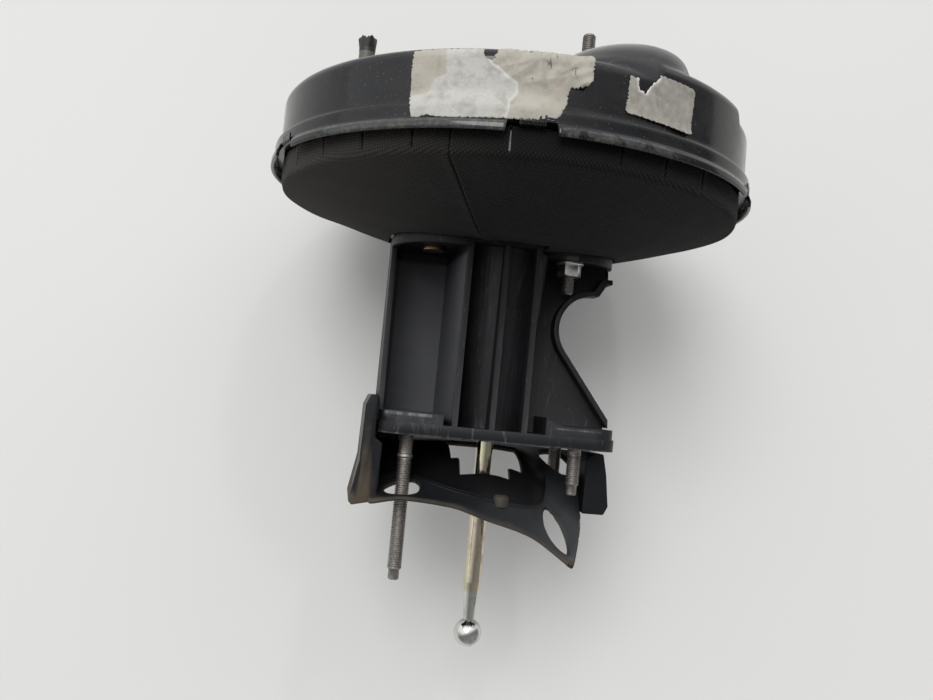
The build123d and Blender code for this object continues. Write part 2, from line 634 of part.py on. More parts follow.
# ---------------------------------------------------------------- power piston
def valve_body():
    """Plastic valve body: long neck, hub, nose, control valve bore, plunger bore and key slot."""
    outline = turned([
        (0, VALVE_REAR), (NECK_RADIUS, VALVE_REAR), (NECK_RADIUS, HUB_Y), (HUB_RADIUS, HUB_Y),
        (HUB_RADIUS, HUB_FRONT), (NOSE_RADIUS, HUB_FRONT), (NOSE_RADIUS, NOSE_FRONT), (0, NOSE_FRONT),
    ])
    rear_bore = ring(0, VALVE_BORE_RADIUS, VALVE_REAR - 1, BORE_END)
    seat = POPPET_FACE + POPPET_TRAVEL
    lip = ring(PLUNGER_HEAD_RADIUS + 0.7, SEAT_LIP_RADIUS, seat, HUB_Y)
    bore = ring(0, PLUNGER_RADIUS, HUB_Y - 2, NOSE_FRONT + 1)
    front_bore = ring(0, REACTION_BORE_RADIUS, REACTION_Y, NOSE_FRONT + 1)
    half = KEY_WIDTH / 2 + LOOSE_CLEARANCE
    gap = LOOSE_CLEARANCE
    slot = block(-half, half, key_y() - gap, key_y() + KEY_THICKNESS + gap, -PLUNGER_RADIUS - 2, HUB_RADIUS + 1)
    return outline - rear_bore + lip - bore - front_bore - slot


def key_y():
    """Rear face of the key that limits the plunger."""
    return HUB_Y + 3.5


def valve_key():
    """Forked steel key that drops into the hub and straddles the plunger's groove."""
    half = KEY_WIDTH / 2
    blank = block(-half, half, key_y(), key_y() + KEY_THICKNESS, -PLUNGER_RADIUS - 1.5, HUB_RADIUS - 1)
    fork = GROOVE_RADIUS + 0.4
    mouth = ring(0, fork, key_y() - 1, key_y() + KEY_THICKNESS + 1)
    mouth += block(-fork, fork, key_y() - 1, key_y() + KEY_THICKNESS + 1, -HUB_RADIUS, 0)
    return blank - mouth


def support_plate():
    """Dished steel plate behind the hub, with a rim turned forward."""
    foot, rim = dish(HUB_Y, -SHEET / 2, PLATE_RADIUS)
    body = skin([
        (NECK_RADIUS, foot[1]), foot, rim, (PLATE_RADIUS, rim[1] + PLATE_RIM_HEIGHT),
    ], 2.0, SHEET)
    for x in (-TIE_BOLT_X, TIE_BOLT_X):
        body -= at(x, 0, ring(0, seal_radius(), HUB_Y - 6, HUB_Y + 6))
    return body


def seal_radius():
    """Outside of the sliding seals on the tie bolts."""
    return TIE_SHANK_RADIUS + TIE_SEAL_WALL


def diaphragm():
    """Rubber diaphragm behind the plate, rolled round its rim, with a bead clamped by the shells."""
    mid = DIAPHRAGM_THICKNESS / 2
    rim = PLATE_RADIUS + SHEET / 2 + mid
    foot, corner = dish(HUB_Y, -SHEET - mid, rim)
    bead_mid = BEAD_Y + BEAD_THICKNESS / 2
    bead_inner = REAR_WALL_RADIUS - SHEET + 1
    roll = bead_inner - rim
    fold = bead_mid + roll
    body = skin([
        (NECK_RADIUS, foot[1]), foot, corner, (rim, fold),
        (rim + roll * 0.8, fold), (rim + roll * 0.8, bead_mid), (bead_inner + 1, bead_mid),
    ], 0.9, DIAPHRAGM_THICKNESS)
    body += ring(bead_inner, SKIRT_RADIUS - SHEET - BOLT_CLEARANCE, BEAD_Y, STEP_Y)
    for x in (-TIE_BOLT_X, TIE_BOLT_X):
        body -= at(x, 0, ring(0, seal_radius(), HUB_Y - 8, HUB_Y + 6))
    return body


def tie_bolt_seal():
    """Rubber sleeve in the plate that slides along a tie bolt."""
    start = REAR_INNER + TIE_COLLAR_THICKNESS + TIE_SEAL_END_GAP
    return ring(TIE_SHANK_RADIUS + SEAL_SQUEEZE, seal_radius(), start, HUB_Y + TIE_SEAL_FRONT_REACH)


def reaction_disc():
    """Rubber disc between the valve body and the output rod's foot."""
    return ring(0, REACTION_BORE_RADIUS, REACTION_Y, REACTION_Y + REACTION_DISC_THICKNESS)


def output_rod():
    """Rod with a broad foot in the valve body's nose and a threaded end for its tip."""
    foot = REACTION_Y + REACTION_DISC_THICKNESS
    rod = turned([
        (0, foot), (REACTION_BORE_RADIUS, foot), (REACTION_BORE_RADIUS, foot + 4), (OUTPUT_ROD_RADIUS, foot + 4),
        (OUTPUT_ROD_RADIUS, foot + OUTPUT_ROD_LENGTH), (0, foot + OUTPUT_ROD_LENGTH),
    ])
    end = foot + OUTPUT_ROD_LENGTH
    return rod - ring(0, OUTPUT_TIP_RADIUS, end - 14, end + 1)


def output_rod_tip():
    """Adjusting screw with a domed head that presses the master cylinder piston."""
    end = REACTION_Y + REACTION_DISC_THICKNESS + OUTPUT_ROD_LENGTH
    radius = OUTPUT_TIP_RADIUS
    head = radius + 1.6
    stem = ring(0, radius, end - 14, end)
    return stem + turned([
        (0, end), (head, end), (head, end + 3), (radius, end + 4.5), (radius, end + 8),
        (radius * 0.7, end + 9.3), (0, end + 10),
    ])


def output_rod_retainer():
    """Pressed ring that keeps the output rod's foot in the nose."""
    foot = REACTION_Y + REACTION_DISC_THICKNESS + 4
    return ring(OUTPUT_ROD_RADIUS + 0.8, REACTION_BORE_RADIUS, foot, foot + 1.5)


def return_spring():
    """Main spring between the support plate and the front shell's seat."""
    wire = 1.6
    return coil(HUB_RADIUS + 4, wire, HUB_Y, SEAT_INNER, 5)


# ---------------------------------------------------------------- control valve
def valve_plunger():
    """Steel plunger with a groove for the key and a ball socket at its rear end."""
    rear = POPPET_FACE + 0.25
    head_front = BORE_END - PLUNGER_TRAVEL - LOOSE_CLEARANCE
    radius = PLUNGER_RADIUS - RUNNING_CLEARANCE
    groove_rear = key_y() - PLUNGER_TRAVEL - 0.3
    groove_front = key_y() + KEY_THICKNESS + 0.5
    front = REACTION_Y - PLUNGER_TRAVEL - 0.5
    body = turned([
        (0, rear), (PLUNGER_HEAD_RADIUS, rear), (PLUNGER_HEAD_RADIUS, head_front - 0.5),
        (radius, head_front), (radius, groove_rear), (GROOVE_RADIUS, groove_rear),
        (GROOVE_RADIUS, groove_front), (radius, groove_front), (radius, front), (0, front),
    ])
    socket = ROD_PIVOT_BALL_RADIUS + RUNNING_CLEARANCE + BALL_SEAT_WALL + RUNNING_CLEARANCE
    body -= Pos(0, PIVOT_Y, 0) * Sphere(socket)
    return body - ring(0, socket - 0.7, rear - 1, PIVOT_Y)


def ball_seat():
    """Thin cup between the rod's pivot ball and the plunger's socket."""
    inner = ROD_PIVOT_BALL_RADIUS + RUNNING_CLEARANCE
    cup = Sphere(inner + BALL_SEAT_WALL) - Sphere(inner)
    keep = block(-20, 20, -ROD_PIVOT_BALL_RADIUS * 0.5, ROD_PIVOT_BALL_RADIUS * 0.8, -20, 20)
    return Pos(0, PIVOT_Y, 0) * (cup & keep)


def poppet_valve():
    """Rubber valve ring: a flat face for the seats and a sleeve in the bore."""
    outer = VALVE_BORE_RADIUS - 0.1
    sleeve = ring(outer - 1.3, outer, POPPET_FACE - POPPET_LENGTH, POPPET_FACE)
    return sleeve + ring(ROD_NECK_RADIUS + 3.9, outer, POPPET_FACE - POPPET_THICKNESS, POPPET_FACE)


def poppet_rear():
    """Rear seat of the poppet spring."""
    return POPPET_FACE - POPPET_LENGTH - 0.6


def poppet_retainer():
    """Steel cup that holds the poppet and both valve springs in the bore."""
    seat = poppet_rear()
    return ring(8.5, VALVE_BORE_RADIUS, seat - 1.5, seat) + ring(
        VALVE_BORE_RADIUS - 1.0, VALVE_BORE_RADIUS, seat - 4, seat - 1.5
    )


def poppet_spring():
    """Light spring that holds the poppet forward."""
    return coil(10.2, 0.6, poppet_rear(), POPPET_FACE - POPPET_THICKNESS, 3)


def rod_seat_y():
    """Front face of the spring seat on the input rod."""
    return poppet_rear() - 11.5


def rod_return_spring():
    """Spring that pushes the input rod back out of the valve body."""
    return coil(9.3, 0.8, rod_seat_y(), poppet_rear() - 1.5, 4)


def rod_spring_seat():
    """Steel washer pressed on the input rod."""
    return ring(ROD_RADIUS, 10.5, rod_seat_y() - 1.5, rod_seat_y())


def air_filter():
    """Foam ring that cleans and quietens the air drawn in past the rod."""
    return ring(ROD_RADIUS + 4.3, VALVE_BORE_RADIUS, VALVE_REAR + 4, VALVE_REAR + 12)


def filter_cap():
    """Snap ring that holds the filter in the end of the valve body."""
    return ring(ROD_RADIUS + 4.5, VALVE_BORE_RADIUS, VALVE_REAR + 0.5, VALVE_REAR + 4)


def input_rod():
    """Rod from the plunger's socket to the pedal ball, as one forging."""
    ball = Pos(0, PIVOT_Y, 0) * Sphere(ROD_PIVOT_BALL_RADIUS)
    end = Pos(0, PEDAL_BALL_Y, 0) * Sphere(PEDAL_BALL_RADIUS)
    neck_y = PEDAL_BALL_Y + math.sqrt(PEDAL_BALL_RADIUS**2 - ROD_NECK_RADIUS**2) - 0.5
    shank = turned([
        (0, neck_y), (ROD_NECK_RADIUS, neck_y), (ROD_RADIUS, neck_y + ROD_TAPER_LENGTH),
        (ROD_RADIUS, PIVOT_Y - 17), (ROD_NECK_RADIUS, PIVOT_Y - 13), (ROD_NECK_RADIUS, PIVOT_Y), (0, PIVOT_Y),
    ])
    return shank + ball + end


# ---------------------------------------------------------------- gasket
def gasket_base():
    """Curved rubber sheet: lofted through its rows, from the far one to the near one."""
    sections = []
    for z, heights in GASKET_ROWS:
        upper = Spline(*zip(GASKET_X, heights))
        lower = Spline(*[(x, y - GASKET_THICKNESS) for x, y in zip(GASKET_X, heights)])
        face = make_face([
            upper, lower, Line(upper @ 0, lower @ 0), Line(upper @ 1, lower @ 1),
        ])
        sections.append(Plane.XY.offset(z) * face)
    outline = polygon(GASKET_OUTLINE)
    outline = fillet(outline.vertices(), GASKET_THICKNESS)
    return loft(sections, ruled=True) & plate(outline, -GASKET_SAG_ROOM, 0)


def gasket_rod_hole():
    """Keyed hole for the rod: wide at the far side, with a step in at each side towards the near one."""
    left, right = GASKET_ROD_HOLE_SIDES
    reach, near = GASKET_ROD_HOLE_REACH, GASKET_ROD_HOLE_HALF_HEIGHT
    outline = polygon([
        (-reach, -near), (reach, -near), (reach, GASKET_ROD_HOLE_RIGHT_STEP), (right, GASKET_ROD_HOLE_RIGHT_STEP),
        (right, near), (left, near), (left, GASKET_ROD_HOLE_LEFT_STEP), (-reach, GASKET_ROD_HOLE_LEFT_STEP),
    ])
    return fillet(outline.vertices(), 2.0)


def gasket():
    """Base sheet with its holes, and the thick side walls; the left one still lies on the spacer's side."""
    body = gasket_base()
    side = -FLANGE_LEFT
    left = polygon([(side, -GASKET_FACE_GAP), (side, GASKET_WALL_TOP), *GASKET_LEFT_WALL])
    body += extrude(Plane.XY.offset(-GASKET_WALL_HALF_WIDTH) * left, 2 * GASKET_WALL_HALF_WIDTH)
    body += extrude(
        Plane.XY.offset(-GASKET_WALL_HALF_WIDTH) * polygon(GASKET_RIGHT_WALL),
        GASKET_WALL_HALF_WIDTH + GASKET_RIGHT_WALL_NEAR_Z,
    )
    holes = gasket_rod_hole()
    holes += Pos(-STUD_X, STUD_Z) * Circle(GASKET_HOLE_RADIUS)
    holes += Pos(STUD_X - GASKET_HOLE_SHIFT, STUD_Z) * Circle(GASKET_NEAR_RIGHT_HOLE_RADIUS)
    holes += Pos(STUD_X, -STUD_Z) * Circle(GASKET_HOLE_RADIUS)
    holes += Pos(-STUD_X, -STUD_Z) * Circle(GASKET_FAR_LEFT_HOLE_RADIUS)
    return body - plate(holes, -GASKET_SAG_ROOM, -1) - gasket_nub()


def gasket_nub():
    """Rubber plug pressed into the gasket's near edge."""
    return at(7.0, 28.0, turned([
        (0, -42), (2, -42), (2, -36), (4.5, -35), (4.5, -30), (3, -28.5), (0, -28.5),
    ]))


# ---------------------------------------------------------------- vacuum check valve
def grommet():
    """Rubber grommet with a groove that grips the front shell."""
    low = FACE_Y - SHEET
    return turned([
        (GROMMET_BORE_RADIUS, low - 4), (GROMMET_RADIUS - 1.5, low - 3), (GROMMET_RADIUS - 1, low),
        (GROMMET_WAIST_RADIUS, low), (GROMMET_WAIST_RADIUS, FACE_Y), (GROMMET_RADIUS, FACE_Y),
        (GROMMET_RADIUS, FACE_Y + 3), (GROMMET_BORE_RADIUS, FACE_Y + 3.5),
    ])


def check_valve_base():
    """Stem through the grommet, with the valve seat on top."""
    return turned([
        (NIPPLE_BORE_RADIUS, FACE_Y - 8), (GROMMET_BORE_RADIUS, FACE_Y - 8), (GROMMET_BORE_RADIUS, FACE_Y + 3.5),
        (VALVE_CAP_RADIUS, FACE_Y + 3.5), (VALVE_CAP_RADIUS, FACE_Y + 7), (NIPPLE_BORE_RADIUS, FACE_Y + 7),
    ])


def check_valve_cap():
    """Cap with the hose nipple, broken off short."""
    seat = FACE_Y + 7
    room = VALVE_CAP_RADIUS - 2
    return turned([
        (room, seat), (VALVE_CAP_RADIUS, seat), (VALVE_CAP_RADIUS, seat + 5), (NIPPLE_RADIUS, seat + 8),
        (NIPPLE_RADIUS, FACE_Y + NIPPLE_REACH), (NIPPLE_BORE_RADIUS, FACE_Y + NIPPLE_REACH - 2),
        (NIPPLE_BORE_RADIUS, seat + 5.5), (room, seat + 5.5),
    ])


def check_valve_disc():
    """Rubber disc that lifts off its seat when the engine draws."""
    return ring(0, VALVE_CAP_RADIUS - 3, FACE_Y + 7.1, FACE_Y + 8.6)


def check_valve_spring():
    """Light spring that closes the disc."""
    return coil(5.0, 0.4, FACE_Y + 8.6, FACE_Y + 12.5, 2)


# ---------------------------------------------------------------- build
def all_parts():
    """Every node's shape, by name."""
    mat_left, mat_right = rear_mats()
    places = stud_places()
    ties = (-TIE_BOLT_X, TIE_BOLT_X)
    capped_end = LUG_FACE - CAP_THICKNESS + CAP_SKIN
    nutted_end = LUG_FACE - TIE_BOLT_REAR_REACH
    return {
        "spacer": spacer(),
        "long_bulkhead_stud": at(*places[0], stud(LONG_STUD_REACH)),
        "short_bulkhead_studs": Compound([at(x, z, stud(SHORT_STUD_REACH)) for x, z in places[1:]]),
        "tie_bolt_left": at(-TIE_BOLT_X, 0, tie_bolt(capped_end, LEFT_TIE_FRONT_REACH)),
        "tie_bolt_right": at(TIE_BOLT_X, 0, tie_bolt(nutted_end, RIGHT_TIE_FRONT_REACH)),
        "tie_nuts": Compound([at(TIE_BOLT_X, 0, nut()), at(-TIE_BOLT_X, 0, cap_nut())]),
        "tie_washers": at(TIE_BOLT_X, 0, washer()),
        "front_shell": front_shell(),
        "rear_shell": rear_shell(),
        "rear_mat_left": mat_left,
        "rear_mat_right": mat_right,
        "neck_seal": neck_seal(),
        "neck_seal_retainer": neck_seal_retainer(),
        "dust_boot": dust_boot(),
        "bulkhead_gasket": gasket(),
        "gasket_nub": gasket_nub(),
        "check_valve_grommet": at(VALVE_X, VALVE_Z, grommet()),
        "check_valve_base": at(VALVE_X, VALVE_Z, check_valve_base()),
        "check_valve_cap": at(VALVE_X, VALVE_Z, check_valve_cap()),
        "check_valve_disc": at(VALVE_X, VALVE_Z, check_valve_disc()),
        "check_valve_spring": at(VALVE_X, VALVE_Z, check_valve_spring()),
        "valve_body": valve_body(),
        "valve_key": valve_key(),
        "support_plate": support_plate(),
        "diaphragm": diaphragm(),
        "tie_bolt_seals": Compound([at(x, 0, tie_bolt_seal()) for x in ties]),
        "reaction_disc": reaction_disc(),
        "output_rod": output_rod(),
        "output_rod_tip": output_rod_tip(),
        "output_rod_retainer": output_rod_retainer(),
        "return_spring": return_spring(),
        "poppet_valve": poppet_valve(),
        "poppet_retainer": poppet_retainer(),
        "poppet_spring": poppet_spring(),
        "rod_return_spring": rod_return_spring(),
        "air_filter": air_filter(),
        "filter_cap": filter_cap(),
        "valve_plunger": valve_plunger(),
        "ball_seat": ball_seat(),
        "input_rod": input_rod(),
        "rod_spring_seat": rod_spring_seat(),
    }


os.makedirs(OUT, exist_ok=True)
for name, shape in all_parts().items():
    export_step(shape, f"{OUT}/{name}.step")
    print(name)
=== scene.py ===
# %% [markdown]
# # A vacuum brake booster
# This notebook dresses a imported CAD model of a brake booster: a crimped steel drum, a moulded plastic
# spacer, studs, a ball-ended input rod and a rubber gasket. The CAD gives every piece its place. The cells
# below add what a maker's drawing leaves out: threads, woven mat, torn paper, rust, scuffs and dust.
# Lengths in this notebook are millimetres, and `MM` turns them into Blender's metres.

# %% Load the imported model
import json
import math

import bmesh
import bpy
import numpy as np
from mathutils import Matrix, Vector


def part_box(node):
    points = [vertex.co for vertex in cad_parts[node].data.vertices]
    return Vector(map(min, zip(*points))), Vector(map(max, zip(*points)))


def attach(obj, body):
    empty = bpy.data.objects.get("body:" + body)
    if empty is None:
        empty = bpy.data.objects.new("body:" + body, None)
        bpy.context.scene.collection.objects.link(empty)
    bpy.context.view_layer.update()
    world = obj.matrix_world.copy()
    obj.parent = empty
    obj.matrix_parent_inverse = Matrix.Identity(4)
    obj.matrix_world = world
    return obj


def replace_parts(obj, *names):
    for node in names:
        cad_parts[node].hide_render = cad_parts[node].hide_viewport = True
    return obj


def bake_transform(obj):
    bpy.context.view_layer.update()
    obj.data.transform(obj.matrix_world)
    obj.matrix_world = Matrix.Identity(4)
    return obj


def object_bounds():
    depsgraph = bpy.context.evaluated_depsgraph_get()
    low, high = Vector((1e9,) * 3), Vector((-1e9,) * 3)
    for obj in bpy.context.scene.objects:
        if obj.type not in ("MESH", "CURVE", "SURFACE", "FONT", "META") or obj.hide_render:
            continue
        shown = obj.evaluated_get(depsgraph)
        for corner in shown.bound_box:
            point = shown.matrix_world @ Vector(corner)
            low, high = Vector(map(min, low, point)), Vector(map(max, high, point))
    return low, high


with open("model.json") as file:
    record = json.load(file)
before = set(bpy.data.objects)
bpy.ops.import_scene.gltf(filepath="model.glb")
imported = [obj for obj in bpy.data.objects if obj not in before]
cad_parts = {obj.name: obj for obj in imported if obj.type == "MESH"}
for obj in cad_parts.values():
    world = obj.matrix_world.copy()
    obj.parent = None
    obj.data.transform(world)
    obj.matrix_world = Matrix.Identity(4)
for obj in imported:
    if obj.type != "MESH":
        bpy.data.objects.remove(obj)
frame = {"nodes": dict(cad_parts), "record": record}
cad_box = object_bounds()
MM = 0.001


# %% Where the CAD pieces are
def span(node):
    """Lowest and highest corner of a CAD node, in millimetres."""
    low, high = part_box(node)
    return np.array(low) / MM, np.array(high) / MM


for node in ("front_shell", "spacer"):
    low, high = span(node)
    print(node, "from", low.round(1), "to", high.round(1))


# %% [markdown]
# ## Camera
# The camera stands half a metre above the booster and looks almost straight down on it, a little from the
# left. Its place and turn are written as a point and a rotation vector, which is an axis times an angle.

# %% Camera
IMAGE_WIDTH = 933
FOCAL_PIXELS = 904.3
SENSOR_WIDTH = 36.0
CAMERA_PLACE = (-86.2, 20.7, 519.6)
CAMERA_TURN = Vector((0.050, -0.137, 0.098))

camera_data = bpy.data.cameras.new("camera")
camera_data.sensor_width = SENSOR_WIDTH
camera_data.lens = FOCAL_PIXELS * SENSOR_WIDTH / IMAGE_WIDTH
camera = bpy.data.objects.new("camera", camera_data)
turn = Matrix.Rotation(CAMERA_TURN.length, 4, CAMERA_TURN.normalized())
camera.matrix_world = Matrix.Translation(Vector(CAMERA_PLACE) * MM) @ turn
bpy.context.scene.collection.objects.link(camera)
bpy.context.scene.camera = camera
print("lens", round(camera_data.lens, 2), "mm")


# %% [markdown]
# ## Points, grids and meshes
# Most pieces are surfaces of two parameters. A profile is a path of points with rounded corners. A grid of
# points is computed as one array, and the faces between its points are index arithmetic.

# %% Profiles
def rounded_path(points, radii, step=0.5):
    """Path through corner points, each corner replaced by an arc of its radius.

    At a corner with half turn h, the arc starts radius * tan(h) before the corner, and its centre lies on the
    bisector. Straight stretches are divided about every eight steps, and arcs about every step.
    """
    points = np.asarray(points, float)
    made = [points[:1]]
    for k in range(1, len(points) - 1):
        before = points[k - 1] - points[k]
        after = points[k + 1] - points[k]
        before /= np.linalg.norm(before)
        after /= np.linalg.norm(after)
        half = (math.pi - math.acos(np.clip(before @ after, -1, 1))) / 2
        cut = radii[k - 1] * math.tan(half)
        start, end = points[k] + before * cut, points[k] + after * cut
        bisector = (before + after) / np.linalg.norm(before + after)
        centre = points[k] + bisector * radii[k - 1] / math.cos(half)
        count = max(3, int(2 * half * radii[k - 1] / step) + 1)
        t = np.linspace(-half, half, count)[:, None]
        along = (end - start) / np.linalg.norm(end - start)
        made.append(centre + radii[k - 1] * (np.sin(t) * along - np.cos(t) * bisector))
    made.append(points[-1:])
    return np.concatenate(made)


def divided(path, length):
    """The same path with more points, so that no stretch is longer than the length."""
    made = [path[:1]]
    for a, b in zip(path[:-1], path[1:]):
        count = max(1, int(math.ceil(np.linalg.norm(b - a) / length)))
        made.append(a + (b - a) * np.linspace(0, 1, count + 1)[1:, None])
    return np.concatenate(made)


# %% Grids
def grid_faces(rows, columns, wrap_rows=False, wrap_columns=False):
    """Quads between the points of a grid, as index rows. A wrapped side joins its last line to its first."""
    last_row, last_column = rows - (not wrap_rows), columns - (not wrap_columns)
    r, c = np.meshgrid(np.arange(last_row), np.arange(last_column), indexing="ij")
    r1, c1 = (r + 1) % rows, (c + 1) % columns
    return np.stack([r * columns + c, r * columns + c1, r1 * columns + c1, r1 * columns + c], -1).reshape(-1, 4)


def lathe(profile, angles):
    """Points of a profile of (radius, y) turned about Y: x = r sin a, z = r cos a. Rows follow the profile."""
    r, y = profile[:, 0][:, None], profile[:, 1][:, None]
    a = angles[None, :]
    return np.stack([r * np.sin(a), y + 0 * a, r * np.cos(a)], -1)


def circle(count):
    """Angles of a full turn, evenly spaced, without the end."""
    return np.linspace(0, 2 * math.pi, count, endpoint=False)


# %% Meshes
def piece(name, points, faces, material, body, layers=None, smooth=True, close=False):
    """A mesh object from points in millimetres that rides on a body. layers gives point attributes by name."""
    mesh = bpy.data.meshes.new(name)
    flat = np.asarray(points, float).reshape(-1, 3)
    mesh.from_pydata((flat * MM).tolist(), [], faces.tolist() if isinstance(faces, np.ndarray) else faces)
    for label, values in (layers or {}).items():
        values = np.asarray(values, np.float32)
        kind = "FLOAT" if values.size == len(flat) else "FLOAT_VECTOR"
        layer = mesh.attributes.new(label, kind, "POINT")
        layer.data.foreach_set("value" if kind == "FLOAT" else "vector", values.ravel())
    mesh.update()
    if close:
        sew(mesh)
    mesh.polygons.foreach_set("use_smooth", [smooth] * len(mesh.polygons))
    made = bpy.data.objects.new(name, mesh)
    bpy.context.scene.collection.objects.link(made)
    mesh.materials.append(material)
    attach(made, body)
    print(name, len(mesh.polygons), "faces")
    return made


def sew(mesh, distance=1e-6):
    """Merge doubled points of a mesh and turn its faces outwards."""
    work = bmesh.new()
    work.from_mesh(mesh)
    bmesh.ops.remove_doubles(work, verts=work.verts, dist=distance)
    bmesh.ops.dissolve_degenerate(work, edges=work.edges, dist=distance)
    bmesh.ops.recalc_face_normals(work, faces=work.faces)
    work.to_mesh(mesh)
    work.free()


def joined(*parts):
    """Several (points, faces) pairs as one pair."""
    points, faces, start = [], [], 0
    for p, f in parts:
        p = np.asarray(p, float).reshape(-1, 3)
        points.append(p)
        faces.extend([[v + start for v in face] for face in f])
        start += len(p)
    return np.concatenate(points), faces


def smooth_step(low, high, value):
    """0 below low, 1 above high, and an even S curve between them."""
    t = np.clip((value - low) / (high - low), 0, 1)
    return t * t * (3 - 2 * t)


def soft_max(a, b, width):
    """The larger of two heights, with a fillet of about that width where they cross."""
    return (a + b + np.sqrt((a - b) ** 2 + width**2)) / 2


# %% [markdown]
# ## Materials
# Every finish is a small node tree. Patterns read Object coordinates, so they stay on the piece when it
# moves, or a point attribute where the pattern has its own place, such as rust along the rim.

# %% Node helpers
class Finish:
    """A material with a principled shader and short names for the nodes used here."""

    def __init__(self, name, colour, roughness, metallic=0.0, **sockets):
        self.material = bpy.data.materials.new(name)
        self.material.use_nodes = True
        self.tree = self.material.node_tree
        self.shader = self.tree.nodes["Principled BSDF"]
        self.set("Base Color", (*colour, 1.0))
        self.set("Roughness", roughness)
        self.set("Metallic", metallic)
        for socket, value in sockets.items():
            self.set(socket.replace("_", " "), value)
        self.place = self.tree.nodes.new("ShaderNodeTexCoord").outputs["Object"]

    def set(self, socket, value):
        """The same for one of the shader's own sockets, by name."""
        self.put(self.shader.inputs[socket], value)

    def put(self, socket, value):
        """A plain value, or a link from another node, into any socket."""
        if isinstance(value, bpy.types.NodeSocket):
            self.tree.links.new(value, socket)
        else:
            socket.default_value = value

    def scaled(self, scale):
        """Object coordinates stretched by three factors."""
        node = self.tree.nodes.new("ShaderNodeMapping")
        self.put(node.inputs["Vector"], self.place)
        node.inputs["Scale"].default_value = scale
        return node.outputs[0]

    def noise(self, scale, detail=4.0, roughness=0.55, source=None, distortion=0.0):
        """Cloudy noise between 0 and 1; scale is in features per metre."""
        node = self.tree.nodes.new("ShaderNodeTexNoise")
        self.put(node.inputs["Vector"], source or self.place)
        node.inputs["Scale"].default_value = scale
        node.inputs["Detail"].default_value = detail
        node.inputs["Roughness"].default_value = roughness
        node.inputs["Distortion"].default_value = distortion
        return node.outputs["Fac"]

    def ramp(self, value, *stops):
        """Colour or grey by value: each stop is (position, colour or number)."""
        node = self.tree.nodes.new("ShaderNodeValToRGB")
        self.put(node.inputs[0], value)
        elements = node.color_ramp.elements
        while len(elements) < len(stops):
            elements.new(0.5)
        for element, (position, colour) in zip(elements, stops):
            element.position = position
            element.color = (*colour, 1.0) if hasattr(colour, "__len__") else (colour, colour, colour, 1.0)
        return node.outputs[0]

    def above(self, value, low, high):
        """0 below low, 1 above high, and a straight rise between them."""
        return self.ramp(value, (low, 0.0), (high, 1.0))

    def mix(self, share, a, b):
        """Colour a where share is 0 and b where it is 1."""
        node = self.tree.nodes.new("ShaderNodeMix")
        node.data_type = "RGBA"
        self.put(node.inputs[0], share)
        for socket, value in ((node.inputs[6], a), (node.inputs[7], b)):
            self.put(socket, (*value, 1.0) if isinstance(value, tuple) and len(value) == 3 else value)
        return node.outputs[2]

    def between(self, share, low, high):
        """A grey from low, where share is 0, to high, where it is 1."""
        return self.mix(share, (low,) * 3, (high,) * 3)

    def math(self, operation, *values):
        """A Math node of the named operation."""
        node = self.tree.nodes.new("ShaderNodeMath")
        node.operation = operation
        for socket, value in zip(node.inputs, values):
            self.put(socket, value)
        return node.outputs[0]

    def times(self, a, b):
        return self.math("MULTIPLY", a, b)

    def plus(self, a, b):
        return self.math("ADD", a, b)

    def layer(self, name, output="Fac"):
        """A point attribute of the piece: a number, or a vector by its output's name."""
        node = self.tree.nodes.new("ShaderNodeAttribute")
        node.attribute_name = name
        return node.outputs[output]

    def axis(self, source, which):
        """One coordinate of a vector."""
        node = self.tree.nodes.new("ShaderNodeSeparateXYZ")
        self.put(node.inputs[0], source)
        return node.outputs[which]

    def bump(self, height, strength, distance):
        """Small relief from a height; distance is in metres."""
        node = self.tree.nodes.new("ShaderNodeBump")
        self.put(node.inputs["Height"], height)
        node.inputs["Strength"].default_value = strength
        node.inputs["Distance"].default_value = distance
        self.set("Normal", node.outputs[0])


# %% [markdown]
# ### Black enamel
# The drum's paint is thin and semi-gloss. It is dusty and speckled, it has fine flecks of bare steel, and
# along the rim it has rusted. The `rust` attribute says where rust may be, and noise breaks it into flecks.

# %% Black enamel
def black_enamel():
    f = Finish("black_enamel", (0.012, 0.012, 0.013), 0.3, Specular_IOR_Level=0.34)
    dust = f.above(f.noise(38, 6, 0.6), 0.46, 0.72)
    fine = f.above(f.noise(620, 3, 0.6), 0.60, 0.72)
    flecks = f.above(f.noise(900, 2, 0.5), 0.70, 0.74)
    coat = f.mix(f.times(dust, 0.35), (0.006, 0.006, 0.007), (0.024, 0.023, 0.022))
    coat = f.mix(f.times(fine, 0.25), coat, (0.060, 0.058, 0.055))
    coat = f.mix(f.times(flecks, 0.55), coat, (0.17, 0.155, 0.14))
    patches = f.noise(420, 5, 0.7)
    worn = f.above(f.plus(f.layer("worn"), f.times(f.noise(170, 5, 0.7), 0.9)), 0.90, 1.15)
    spots = f.ramp(f.noise(380, 4, 0.7, distortion=0.4), (0.46, (0.045, 0.050, 0.054)),
                   (0.60, (0.090, 0.085, 0.072)), (0.72, (0.22, 0.11, 0.055)))
    coat = f.mix(f.times(worn, 0.8), coat, spots)
    rusty = f.above(f.plus(f.layer("rust"), f.times(patches, 1.3)), 1.12, 1.34)
    rust_colour = f.mix(f.above(f.noise(520, 5, 0.75), 0.32, 0.60), (0.085, 0.040, 0.026), (0.28, 0.145, 0.085))
    f.set("Base Color", f.mix(rusty, coat, rust_colour))
    f.set("Roughness", f.mix(rusty, f.between(dust, 0.13, 0.30), (0.85,) * 3))
    f.bump(f.plus(f.times(patches, rusty), f.times(f.noise(260, 4), 0.15)), 0.5, 0.0004)
    return f.material


